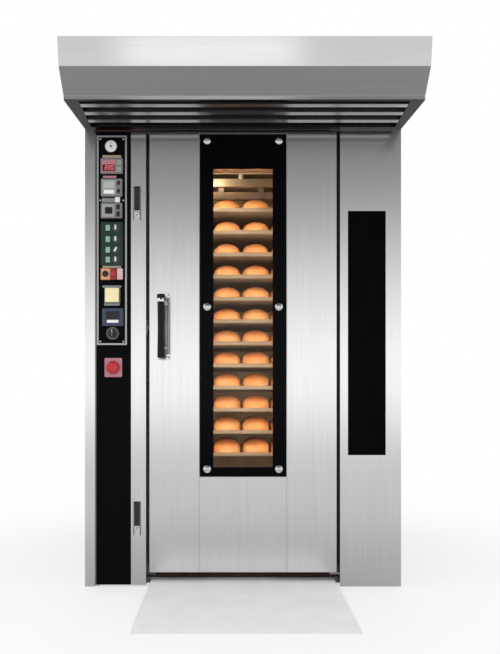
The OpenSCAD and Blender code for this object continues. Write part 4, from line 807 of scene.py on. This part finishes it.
# ---------------------------------------------------------------- locks
# Two flush paddle locks in the steel strip: a dark die cast tray, a paddle with a finger scoop, and a
# nickel key cylinder at the foot.
lock_black = enamel("lock black", (0.018, 0.019, 0.021), 0.42, shine=0.3)
lock_zinc = painted("lock zinc", (0.13, 0.13, 0.135), (0.19, 0.19, 0.19), rough=0.40, metal=0.5, size=200)
nickel = brushed("nickel", 0.74, 0.20, grain=(1, 1, 1), lines=260, depth=0.01, smear=0.05)
locks_low, locks_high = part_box("lock_housings")
lock_h = 0.154
lock_x = (locks_low[0] + locks_high[0]) / 2
half_lock = (locks_high[0] - locks_low[0]) / 2
inner_half = half_lock - 0.005
sheet_y = leaf_low[1]
parts = []
for foot in (locks_low[2], locks_high[2] - lock_h):
    top = foot + lock_h
    key_z = foot + 0.026

    # Side rails, head rail, nickel foot, well and key slot, from side to side, front to back and foot to head
    for finish, left, right, front, back, low, high, edge in (
            (lock_zinc, -half_lock, 0.0055 - half_lock, -0.003, 0.018, foot, top, 0.9),
            (lock_zinc, half_lock - 0.0055, half_lock, -0.003, 0.018, foot, top, 0.9),
            (lock_zinc, -inner_half, inner_half, -0.003, 0.018, top - 0.0036, top, 0.9),
            (nickel, -inner_half, inner_half, -0.003, 0.018, foot, foot + 0.044, 0.9),
            (lock_black, -inner_half, inner_half, 0.012, 0.018, foot + 0.043, top - 0.003, 0.4),
            (lock_black, -0.0009, 0.0009, -0.0054, -0.0046, key_z - 0.0045, key_z + 0.0045, 0.2)):
        parts.append(pressed(finish, (lock_x + left, sheet_y + front, low),
                             (lock_x + right, sheet_y + back, high), edge))
    parts.append(turned(nickel, [(12, 0), (11.8, 1.2), (9.5, 1.8), (8.8, 2.4), (6, 2.4), (3, 2.1)],
                        (lock_x, sheet_y - 0.0028, key_z), "-Y"))
fit_up("lock_trays", parts, "control_door", "lock_zinc", "lock_housings")

# Each paddle has a blade, a lip and four ridges at its scooped lower end, and hangs on its pin.
for node, name, body in (("lock_handle_upper", "upper_lock_paddle", "upper_paddle"),
                         ("lock_handle_lower", "lower_lock_paddle", "lower_paddle")):
    (_, face, foot), (_, _, head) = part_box(node)
    parts = [pressed(lock_black, (lock_x - half_w, face + front, foot + low), (lock_x + half_w, back, high),
                     edge)
             for half_w, front, back, low, high, edge in
             [(0.011, 0, sheet_y + 0.002, 0, head - 0.004, 1),
              (0.009, -0.0006, face + 0.001, 0.004, foot + 0.012, 0.6)]
             + [(0.008, -0.0003, face + 0.001, 0.018 + i * 0.004, foot + 0.0195 + i * 0.004, 0.3)
                for i in range(4)]]
    parts.append(turned(lock_black, [(2.5, 0), (2.5, 2), (4, 2.2), (4, 23.8), (2.5, 24), (2.5, 26)],
                        (lock_x - 0.013, sheet_y + 0.005, head - 0.004), "X", 20))
    fit_up(name, parts, body, "lock_zinc", node)

# ---------------------------------------------------------------- control column
# A trim frame of aluminium on the black panel holds the column of controls: a dial, a display, two
# controllers, a green lamp block, switches and buttons. All are moulded plastic.
panel_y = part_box("control_panel")[0][1]
knob_low, knob_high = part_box("selector_1")
column_x = (knob_low[0] + knob_high[0]) / 2 - 0.019
plastics = {name: enamel(name.replace("_", " "), tone, rough, shine) for name, tone, rough, shine in (
    ("beige_label", (0.30, 0.27, 0.20), 0.5, 0.3), ("grey_label", (0.20, 0.21, 0.21), 0.5, 0.3),
    ("housing_grey", (0.15, 0.16, 0.155), 0.45, 0.4), ("face_grey", (0.26, 0.28, 0.26), 0.40, 0.4),
    ("screen", (0.36, 0.40, 0.37), 0.15, 0.5), ("white_key", (0.70, 0.71, 0.68), 0.35, 0.4),
    ("black_key", (0.010, 0.010, 0.012), 0.35, 0.4), ("board_green", (0.004, 0.026, 0.016), 0.35, 0.4),
    ("switch_ring", (0.050, 0.058, 0.052), 0.40, 0.4), ("lamp_green", (0.20, 0.38, 0.27), 0.25, 0.5),
    ("peach", (0.62, 0.20, 0.075), 0.35, 0.4), ("peach_face", (0.62, 0.36, 0.22), 0.40, 0.4),
    ("red_plate", (0.26, 0.022, 0.018), 0.35, 0.4), ("pink_plate", (0.40, 0.17, 0.20), 0.40, 0.4),
    ("pale_pink", (0.58, 0.38, 0.38), 0.40, 0.4), ("blue_grey", (0.030, 0.045, 0.085), 0.40, 0.4),
    ("brown_grey", (0.085, 0.070, 0.060), 0.45, 0.4), ("window_red", (0.10, 0.008, 0.014), 0.15, 0.5),
    ("cream", (0.78, 0.68, 0.38), 0.30, 0.5), ("signal_red", (0.40, 0.012, 0.022), 0.30, 0.5))}
plastics["trim"] = brushed("trim aluminium", 0.50, 0.34, lines=300)
plastics["lit_red"], tree, skin = new_finish("lit red")
flicker = grain_noise(tree, (1, 1, 1), 900, 2.0)
feed(skin, Base_Color=tone_between(tree, flicker, (1.0, 0.16, 0.20), (1.0, 0.30, 0.34)),
     Emission_Color=tone_between(tree, flicker, (1.0, 0.10, 0.16), (1.0, 0.26, 0.30)), Emission_Strength=0.7)


# From here to the column's end, places are in millimetres: across from the column's middle, up from
# the ground, and out from the control panel's face.
def tile(x, z, w, h, depth, finish, start=0, corner=1.5, edge=0.5):
    """A plate by its middle, width, height and depth, with its back at start"""
    low = (column_x + (x - w / 2) * mm, panel_y - (start + depth) * mm, (z - h / 2) * mm)
    high = (column_x + (x + w / 2) * mm, panel_y - start * mm, (z + h / 2) * mm)
    return pressed(plastics[finish], low, high, edge, corner=corner)


def boss(x, z, rings, finish, start=0, sides=32):
    """A turned piece that stands out of the panel"""
    return turned(plastics[finish], rings, (column_x + x * mm, panel_y - start * mm, z * mm), "-Y", sides)


def seven_segments(x, z, digits, tall=18):
    """Lit numerals of a display, each from seven short bars"""
    wide, bar = tall * 0.5, tall * 0.10
    strokes = {"0": "abcdef", "1": "bc", "2": "abged", "5": "afgcd"}
    sides = {"a": (0, 2), "g": (0, 0), "d": (0, -2), "f": (-1, 1), "b": (1, 1), "e": (-1, -1), "c": (1, -1)}
    made = []
    for i, digit in enumerate(digits):
        for across, up in (sides[stroke] for stroke in strokes[digit]):
            w, h = (bar, tall / 2 - bar) if across else (wide - bar, bar)
            made.append(tile(x + i * tall * 0.78 + across * wide / 2, z + up * tall / 4, w, h, 0.4, "lit_red",
                             6.8, 0, 0.1))
    return made


trim_w, trim_band, trim_foot, trim_head = 136, 8, 1093, 2040
beam = trim_band / 2
parts = [tile(side * (trim_w / 2 - beam), (trim_foot + trim_head) / 2, trim_band, trim_head - trim_foot, 1.4,
              "trim", corner=0) for side in (-1, 1)]
parts += [tile(0, z, trim_w - 2 * trim_band, trim_band, 1.4, "trim", corner=0)
          for z in (trim_foot + beam, trim_head - beam)]
plastics["screw"] = screw_steel
parts += [boss(x, z, [(4, 0), (4.3, 0.5), (3.6, 1.6), (1.6, 2.1), (1.4, 1)], "screw", sides=16)
          for x in (-52, 52) for z in (trim_foot + 16, trim_head - 16, 1747)]

# Dial: a white face under a black bezel, with a scale of strokes, every fifth one long
dial_low, dial_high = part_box("gauge_needle")
dial_x = ((dial_low[0] + dial_high[0]) / 2 - column_x) / mm
dial_z = 1989
dial_place = (column_x + dial_x * mm, panel_y, dial_z * mm)
parts.append(boss(dial_x, dial_z, [(29, 0), (29, 7.2), (28.2, 8), (26.8, 8), (26.4, 6.6), (10, 6.6)],
                  "black_key", sides=48))
parts.append(boss(dial_x, dial_z, [(26.2, 6), (26.2, 7), (26, 7.4), (10, 7.4)], "white_key", sides=48))
for step in range(21):
    bearing = math.radians(-120 + step * 12)
    length = 0.0018 if step % 5 else 0.0030
    stroke = pressed(plastics["black_key"], (-0.0005, 0, -length), (0.0005, 0.0003, 0), 0)
    place = (dial_place[0] + math.sin(bearing) * 0.024, panel_y - 0.0076,
             dial_place[2] + math.cos(bearing) * 0.024)
    parts.append(settle(stroke, (0, bearing, 0), place))

parts += [tile(*row) for row in (
    # Display with two keys and its labels
    (0, 1901, 100, 70, 6, "housing_grey", 0, 3), (-14, 1901, 62, 56, 0.8, "pink_plate", 5.6),
    (-14, 1892, 56, 30, 0.6, "window_red", 6.2), (34, 1916, 20, 22, 1.8, "face_grey", 6, 3),
    (34, 1886, 20, 22, 1.8, "face_grey", 6, 3), (0, 1945, 84, 12, 1, "beige_label"),
    (-10, 1853, 60, 10, 1, "pink_plate"),
    # Timer: a pale screen, a white bar and two keys
    (0, 1802, 96, 80, 11, "housing_grey", 0, 4, 1.2), (-11, 1802, 62, 66, 1.2, "face_grey", 11, 3),
    (-11, 1814, 48, 28, 0.6, "screen", 12), (-11, 1782, 46, 17, 0.8, "white_key", 12),
    (32, 1822, 12, 18, 1.5, "black_key", 11, 3), (32, 1786, 12, 18, 1.5, "black_key", 11, 3),
    # Label row with a light key
    (-6, 1747, 78, 20, 2, "grey_label"), (26, 1749, 22, 24, 3.4, "white_key", 0, 2),
    # Controller: a pale face with a dark dial square and two keys
    (0, 1698, 96, 68, 11, "housing_grey", 0, 4, 1.2), (-14, 1698, 56, 58, 1.2, "face_grey", 11, 3),
    (-12, 1698, 34, 30, 1, "black_key", 12, 4), (-12, 1698, 24, 18, 0.4, "housing_grey", 12.6, 3),
    (30, 1714, 15, 22, 1.5, "black_key", 11, 3), (30, 1682, 15, 22, 1.5, "black_key", 11, 3),
    # Board of the green block and its label
    (0, 1550, 100, 196, 3, "board_green", 0, 3), (0, 1446, 84, 10, 1, "beige_label"),
    # Plates of the start and stop buttons, and a blank one
    (-28, 1413, 44, 52, 3.4, "peach", 0, 3), (-28, 1413, 34, 42, 0.6, "peach_face", 3.4, 3),
    (8, 1413, 26, 50, 4, "red_plate", 0, 3), (37, 1413, 26, 50, 8, "pale_pink", 0, 3, 1.2),
    (0, 1357, 84, 10, 1, "grey_label"),
    # Plate of the light key, the blue-grey unit with its white bar, and the stop button's plate
    (2, 1318, 72, 74, 3, "housing_grey", 0, 4), (0, 1276, 70, 10, 1, "grey_label"),
    (5, 1218, 96, 80, 8, "blue_grey", 0, 4, 1.2), (5, 1227, 62, 36, 1, "black_key", 8, 4),
    (5, 1199, 52, 13, 1, "white_key", 8), (7, 991, 79, 86, 4, "pink_plate", 0, 5, 1))]
parts += seven_segments(-26, 1893, "220")
parts.append(boss(4, 1145, [(29, 0), (29, 6), (27.5, 8), (8, 8)], "brown_grey", sides=40))

# The green block has four lamps on the left and four turning switches on the right.
switches = ((1621, 0), (1570, 0), (1522, 28), (1478, 0))
for z, _ in switches:
    parts.append(tile(-17, z, 26, 32, 1.6, "black_key", 3))
    parts.append(tile(-17, z, 20, 26, 5, "lamp_green", 3, edge=1.5))
    parts.append(boss(19, z, [(16.5, 3), (16.5, 3.1), (15, 3.25), (6, 3.25)], "switch_ring"))
fit_up("control_fittings", parts, "control_door", "module_plastic", "panel_modules")

# The turning and pressing caps ride on bodies of their own, each on a stem through the panel.
stem = [(4, -10), (4, 0)]
for number, (z, lean) in enumerate(switches, 1):
    skirt = boss(19, z, stem + [(11.8, 0.1), (12, 1.2), (11.2, 8.5), (10, 9.8), (3, 10)], "switch_ring", 3.3)
    bar = pressed(plastics["white_key"], (-0.0035, -0.018, -0.011), (0.0035, -0.009, 0.011), 0.8, corner=3)
    line = pressed(plastics["black_key"], (-0.0006, -0.0184, 0.001), (0.0006, -0.0178, 0.010), 0.2)
    place = (column_x + 19 * mm, panel_y - 3.3 * mm, z * mm)
    grips = [settle(part, (0, math.radians(lean), 0), place) for part in (bar, line)]
    fit_up("switch_knob_%d" % number, [skirt] + grips, "switch_%d" % number, "knob_plastic",
           "selector_%d" % number)

cap_rings = [(0.88, 0.2), (0.98, 1.2), (1.0, 3), (0.98, 5.6), (0.86, 6.8), (0.30, 7)]
for name, node, x, r, finish, slot, body in (
        ("start_button", "push_button_start", -28, 14, "black_key", "knob_plastic", "start_cap"),
        ("stop_button", "push_button_stop", 8, 11, "signal_red", "red_plastic", "stop_cap")):
    rings = stem + [(r * share, out) for share, out in cap_rings]
    fit_up(name, [boss(x, 1413, rings, finish, 7.3)], body, slot, node)

fit_up("light_key", [tile(2, 1318, 62, 64, 5.6, "cream", 6.3, 4, 1.4),
                     tile(2, 1318, 48, 50, 0.4, "cream", 11.9, 3),
                     boss(2, 1318, stem, "black_key", 6.4)], "light_cap", "cream_plastic", "light_button")
turn_rings = stem + [(18.6, 0.1), (19, 1), (18.4, 7), (17, 8), (5, 8)]
fit_up("main_switch_knob", [boss(4, 1145, turn_rings, "black_key", 8.3, 40),
                            tile(4, 1145, 8, 34, 12, "brown_grey", 16, 3.5, 1),
                            tile(4, 1154, 1.4, 12, 0.4, "white_key", 27.9, 0)],
       "key_knob", "knob_plastic", "key_switch")
mushroom_rings = stem + [(15, 0.2), (27, 2.6), (28.8, 5), (29, 8.5), (28, 12.2), (25, 15.5), (19, 18),
                         (11, 19), (3, 19.3)]
fit_up("stop_mushroom", [boss(7, 991, mushroom_rings, "signal_red", 9.3, 48)], "mushroom", "red_plastic",
       "emergency_stop")

tip_z = 0.02
hand = pressed(plastics["signal_red"], (-0.0011, -0.0020, -0.0068), (0.0011, -0.0008, 0.0218), 0.3)
select_where(hand, "VERT", lambda v: v.co.z > tip_z)
bpy.ops.transform.resize(value=(0.35, 1, 1), center_override=(0, 0, tip_z))
settle(hand, place=(dial_place[0], panel_y - 8.3 * mm, dial_place[2]))
pivot = boss(dial_x, dial_z, stem + [(4, 1.8), (3.4, 2.2), (1, 2.3)], "black_key", 8.3)
fit_up("dial_hand", [hand, pivot], "needle", "red_plastic", "gauge_needle")

# ---------------------------------------------------------------- motors
# Finned cast motors with a fan cowl: one turns the fan from a stool on the roof, one drives the rack
# through a cast gearbox. Both have grey-blue machine paint.
machine_paint = painted("machine paint", (0.085, 0.125, 0.160), (0.115, 0.150, 0.180), rough=0.42, size=90)
cowl_paint = painted("cowl paint", (0.040, 0.045, 0.050), (0.060, 0.062, 0.065), rough=0.50, size=90)
bolt_steel = brushed("bolt steel", 0.46, 0.36, grain=(1, 1, 1), lines=400, depth=0.02)
quarter_turn = (0, math.radians(90), 0)


def hex_bolt(x, y, z, size=6.5, axis="Z"):
    """A hexagon head on its washer, of a size in millimetres"""
    washer = size * 1.35
    return turned(bolt_steel, [(washer, 0), (washer, 1.2), (size, 1.3), (size, 4.8), (size * 0.86, 5.6),
                               (size * 0.3, 5.6)], (x, y, z), axis, 6)


def bolt_circle(x, y, z, radius, count, size=6.5, axis="Z"):
    """Bolts round a centre, the first of them half a step past the X axis"""
    turns = [math.tau * (i + 0.5) / count for i in range(count)]
    steps = [(radius * math.cos(turn), radius * math.sin(turn)) for turn in turns]
    if axis == "Y":
        return [hex_bolt(x + a, y, z + b, size, axis) for a, b in steps]
    return [hex_bolt(x + a, y + b, z, size, axis) for a, b in steps]


def hoop(finish, radius, wire_r, place, around, across):
    select_only()
    bpy.ops.mesh.primitive_torus_add(major_radius=radius, minor_radius=wire_r, major_segments=around,
                                     minor_segments=across, location=place)
    return paint(settle(bpy.context.object), finish)


def finned_motor(r, length, place, turn=(0, 0, 0)):
    """A motor of a radius and length, from its flange at the place along +Z, or turned from it"""
    barrel = 0.72 * length
    in_mm = [(0.96, 0), (1, 2), (1, 9), (0.86, 11), (0.86, barrel / mm), (0.30, barrel / mm + 1)]
    parts = [turned(machine_paint, [(share * r / mm, out) for share, out in in_mm], axis="Z", sides=40)]
    for i in range(28):
        fin = pressed(machine_paint, (0.82 * r, -0.0014, 0.012), (0.965 * r, 0.0014, barrel - 0.002), 0.6, 1)
        parts.append(settle(fin, (0, 0, math.tau * i / 28)))
    cowl = [(0.985, barrel - 0.004), (0.99, barrel - 0.002), (0.99, 0.93 * length), (0.93, 0.985 * length),
            (0.88, 0.990 * length), (0.20, 0.990 * length)]
    parts.append(turned(cowl_paint, [(share * r / mm, out / mm) for share, out in cowl], axis="Z", sides=40))
    parts += [hoop(cowl_paint, share * r, 0.0016, (0, 0, length - 0.0025), 32, 6)
              for share in (0.30, 0.48, 0.66, 0.84)]
    for i in range(4):
        spoke = pressed(cowl_paint, (0.20 * r, -0.0016, length - 0.0035), (0.88 * r, 0.0016, length - 0.0008),
                        0.5, 1)
        parts.append(settle(spoke, (0, 0, math.radians(45 + i * 90))))
    return repeated(joined(parts), [place], turn)


# The fan's motor on its stool, with a terminal box
roof_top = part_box("roof_panel")[1][2]
fan_low, fan_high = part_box("fan_motor")
fan_y = (fan_low[1] + fan_high[1]) / 2
stool_top = roof_top + 0.068
stool_w = fan_high[0]
parts = [pressed(machine_paint, (fan_low[0], fan_low[1], stool_top - 0.008),
                 (stool_w, fan_high[1], stool_top), 1.2, corner=6, along="Z")]
for side in (-1, 1):
    for near, far, top in ((stool_w - 0.010, stool_w, stool_top - 0.007),
                           (stool_w - 0.036, stool_w - 0.010, roof_top + 0.005)):
        left, right = sorted((side * near, side * far))
        parts.append(pressed(machine_paint, (left, fan_low[1], roof_top), (right, fan_high[1], top)))
    for y in (fan_low[1] + 0.030, fan_high[1] - 0.030):
        parts.append(hex_bolt(side * (stool_w - 0.024), y, roof_top + 0.005))
parts += bolt_circle(0, fan_y, stool_top, 0.098, 4)
parts += finned_motor(0.085, fan_high[2] - stool_top, (0, fan_y, stool_top))
parts.append(pressed(machine_paint, (0.070, fan_y - 0.036, stool_top + 0.055),
                     (0.108, fan_y + 0.036, stool_top + 0.120), 4, 3))
parts.append(pressed(cowl_paint, (0.1075, fan_y - 0.032, stool_top + 0.059),
                     (0.1098, fan_y + 0.032, stool_top + 0.116), 0.8))
fit_up("fan_motor_set", parts, "casing", "machine_paint", "fan_motor")

# The rack's gearmotor: a bearing flange, two stands, a gearbox with its foot rim, cover and ribs
gear_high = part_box("rack_gearmotor")[1]
gear_half, gear_top = gear_high[1], gear_high[2]
gear_foot = roof_top + 0.078
motor_z = gear_top - 0.060
flange_rings = [(62, 0), (64, 1), (64, 9), (62, 10), (50, 10.5), (48, 12.5), (48, 35), (47, 36), (21, 36)]
parts = [turned(machine_paint, flange_rings, (0, 0, roof_top), "Z", 48)]
parts += bolt_circle(0, 0, roof_top + 0.010, 0.056, 4, 5)
for x in (-0.070, 0.070):
    parts.append(pressed(machine_paint, (x - 0.005, -gear_half, roof_top), (x + 0.005, gear_half, gear_foot)))
for half, low, high, *roundings in ((0.069, gear_foot, gear_top - 0.009, 7, 4),
                                    (gear_half, gear_foot, gear_foot + 0.010, 2, 3, 8, "Z"),
                                    (0.062, gear_top - 0.011, gear_top - 0.006, 1.2, 2, 10, "Z")):
    parts.append(pressed(machine_paint, (-half, -half, low), (half, half, high), *roundings))
parts += [hex_bolt(x, y, gear_top - 0.006, 4.5) for x in (-0.052, 0.052) for y in (-0.052, 0.052)]
for x in (-0.045, 0.0, 0.045):
    parts.append(pressed(machine_paint, (x - 0.003, -gear_half, gear_foot + 0.006),
                         (x + 0.003, gear_half, gear_top - 0.020), 2))
parts.append(turned(machine_paint, [(64, 0), (66, 1), (66, 7), (58, 8.5), (30, 8.5)], (0.069, 0, motor_z),
                    "X", 40))
parts += finned_motor(0.058, gear_high[0] - 0.075, (0.075, 0, motor_z), quarter_turn)
brass = brushed("brass", 0.60, 0.32, grain=(1, 1, 1), lines=400, depth=0.02, warm=(1.0, 0.80, 0.42))
parts.append(turned(brass, [(10, 0), (10, 4), (8.5, 5), (3, 5)], (-0.030, -0.069, gear_foot + 0.030),
                    "-Y", 6))
fit_up("rack_gearmotor_set", parts, "casing", "machine_paint", "rack_gearmotor")

# ---------------------------------------------------------------- burner
# The burner's blast tube enters the heat exchanger through the rear panel. Its cast housing and fan
# motor hang on a flange that four bolts hold.
burner_low, burner_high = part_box("burner")
burner_z = (burner_low[2] + burner_high[2]) / 2
burner_half = -burner_low[0]
body_y = rear_y + 0.008
cover_y = burner_high[1] - 0.052
button_place = (0.045, burner_high[1] - 0.0055, burner_z + 0.020)
tube_out = (rear_y - burner_low[1]) / mm + 4
cover_grey = painted("burner cover", (0.30, 0.31, 0.32), (0.38, 0.38, 0.38), rough=0.38, size=90)
parts = [turned(finish, rings, place, axis, sides) for finish, rings, place, axis, sides in (
    (flame_scale, [(58, 0), (60, 1), (60, tube_out), (40, tube_out)], (0, burner_low[1], burner_z), "Y", 40),
    (machine_paint, [(99, 0), (100, 1), (100, 7), (99, 8), (50, 8)], (0, rear_y, burner_z), "Y", 48),
    (plastics["black_key"], [(14, 0), (14, 2.2), (12, 3), (5, 3)], button_place, "Y", 24),
    (plastics["signal_red"], [(9.5, 0), (9.5, 4), (8, 5.2), (3, 5.5)], button_place, "Y", 24),
    (cover_grey, [(74, 0), (76, 2), (74, 12), (60, 16), (30, 16)],
     (burner_half - 0.008, body_y + 0.095, burner_z), "X", 40))]
parts += bolt_circle(0, body_y - 0.001, burner_z, 0.128 * 0.66, 4, 5, "Y")
parts.append(pressed(machine_paint, (-burner_half, body_y, burner_z - 0.095),
                     (burner_half, cover_y, burner_z + 0.095), 12, 4))
parts.append(pressed(cover_grey, (0.006 - burner_half, cover_y - 0.008, burner_z - 0.089),
                     (burner_half - 0.006, burner_high[1] - 0.005, burner_z + 0.089), 16, 5))
parts += [hex_bolt(x, burner_high[1] - 0.0058, burner_z + z, 4.2, "Y") for x in (-0.080, 0.080)
          for z in (-0.066, 0.066)]
parts += finned_motor(0.055, burner_high[0] - burner_half - 0.006,
                      (burner_half + 0.006, body_y + 0.095, burner_z), quarter_turn)
fit_up("burner_set", parts, "casing", "machine_paint", "burner")

# ---------------------------------------------------------------- pipes
# The flue and the steam pipe are rolled stainless tube with a beaded mouth, on collars that are bolted
# to the roof. The damper turns on a pin through the steam pipe.
pipe_steel = brushed("pipe steel", 0.62, 0.32)
dress(["flue_and_vent_pipes"], pipe_steel)
dress(["vent_damper"], zinc, edge=0.5)
pipes_low, pipes_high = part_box("flue_and_vent_pipes")
flue_collar, vent_collar = 0.130, 0.100
parts = []
for x, y, r, bolts in ((pipes_high[0] - flue_collar, pipes_high[1] - flue_collar, 0.100, (0.116, 8)),
                       (pipes_low[0] + vent_collar, pipes_low[1] + vent_collar - 0.0001, 0.075, (0.089, 6))):
    parts.append(hoop(pipe_steel, r - 0.0012, 0.0032, (x, y, pipes_high[2] - 0.0034), 64, 10))
    parts += bolt_circle(x, y, roof_top + 0.004, *bolts, 5.2)
fit_up("pipe_beads_and_bolts", parts, "casing", "skin_steel")

# ---------------------------------------------------------------- electrical plate
# A galvanised plate behind the service door, with contactors, relays, a motor drive and a row of
# terminals on rails, and the mains gland in the roof.
plate_low, plate_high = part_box("electrical_plate")
rail_y = plate_high[1] - 0.003
plate_head = 1.700
parts = [pressed(zinc, (plate_low[0], rail_y, plate_low[2]), (plate_high[0], plate_high[1], plate_head), 0.8)]
plastics.update(zinc=zinc, bolt=bolt_steel)


def device(x, z, w, h, out, finish, start=0, edge=1.2):
    """A device on the plate in millimetres, from its left lower corner and its back at start"""
    return pressed(plastics[finish], (plate_low[0] + x * mm, rail_y - (start + out) * mm, z * mm),
                   (plate_low[0] + (x + w) * mm, rail_y - start * mm, (z + h) * mm), edge)


# Three rails and the motor drive with its fins, face, display and keys
parts += [device(*row) for row in (
    (5, 1418, 175, 7.5, 5, "zinc", 0, 0.4), (5, 1218, 175, 7.5, 5, "zinc", 0, 0.4),
    (5, 541, 165, 7.5, 5, "zinc", 0, 0.4), (20, 780, 145, 240, 30, "bolt"),
    (20, 790, 145, 220, 52, "housing_grey", 53, 4), (40, 900, 85, 75, 1.8, "black_key", 104.8, 0.8),
    (50, 940, 65, 22, 0.8, "screen", 106, 0.3))]
parts += [device(22.5 + i * 12.2, 782, 4, 236, 26, "bolt", 29, 0.5) for i in range(12)]
parts += [device(47 + i * 19, 908, 12, 12, 0.6, "white_key", 106.2, 0.3) for i in range(4)]

# Contactors on the top rail, with their clamping screws
for x in (12, 70, 128):
    parts.append(device(x, 1380, 45, 85, 52, "black_key", 4))
    parts.append(device(x + 4, 1398, 37, 49, 18, "housing_grey", 55.5))
    parts += [device(x + 5 + k * 13, z, 9, 9, 3.5, "bolt", 55, 0.6) for k in range(3) for z in (1384, 1452)]

# Relays on the second rail
for x in (12, 47, 82, 117, 152):
    parts.append(device(x, 1180, 28, 85, 44, "face_grey", 4))
    parts.append(device(x + 3, 1197, 22, 50, 15, "screen", 47))
    parts.append(device(x + 8, 1205, 12, 5, 1, "lamp_green", 61.5, 0.3))

# Terminals on the lowest rail: earth at both ends, neutral next to the first, and two screws in each
for i in range(20):
    tone = "lamp_green" if i in (0, 19) else "blue_grey" if i == 1 else "face_grey"
    parts.append(device(13 + i * 7.9, 520, 7.4, 50, 40, tone, 4.5, 0.8))
    parts += [device(14.5 + i * 7.9, z, 4.5, 4.5, 0.6, "bolt", 44.3, 0.2) for z in (528, 557)]
gland_rings = [(20.5, 0), (21, 1), (21, 9), (18, 10), (17.5, 12), (17.5, 20), (15, 25), (13.5, 26),
               (12, 25.5), (12, 2)]
parts.append(turned(plastics["black_key"], gland_rings, (-0.610, -0.400, roof_top), "Z", 24))
fit_up("switch_gear", parts, "casing", "cabinet_plastic", "electrical_plate")
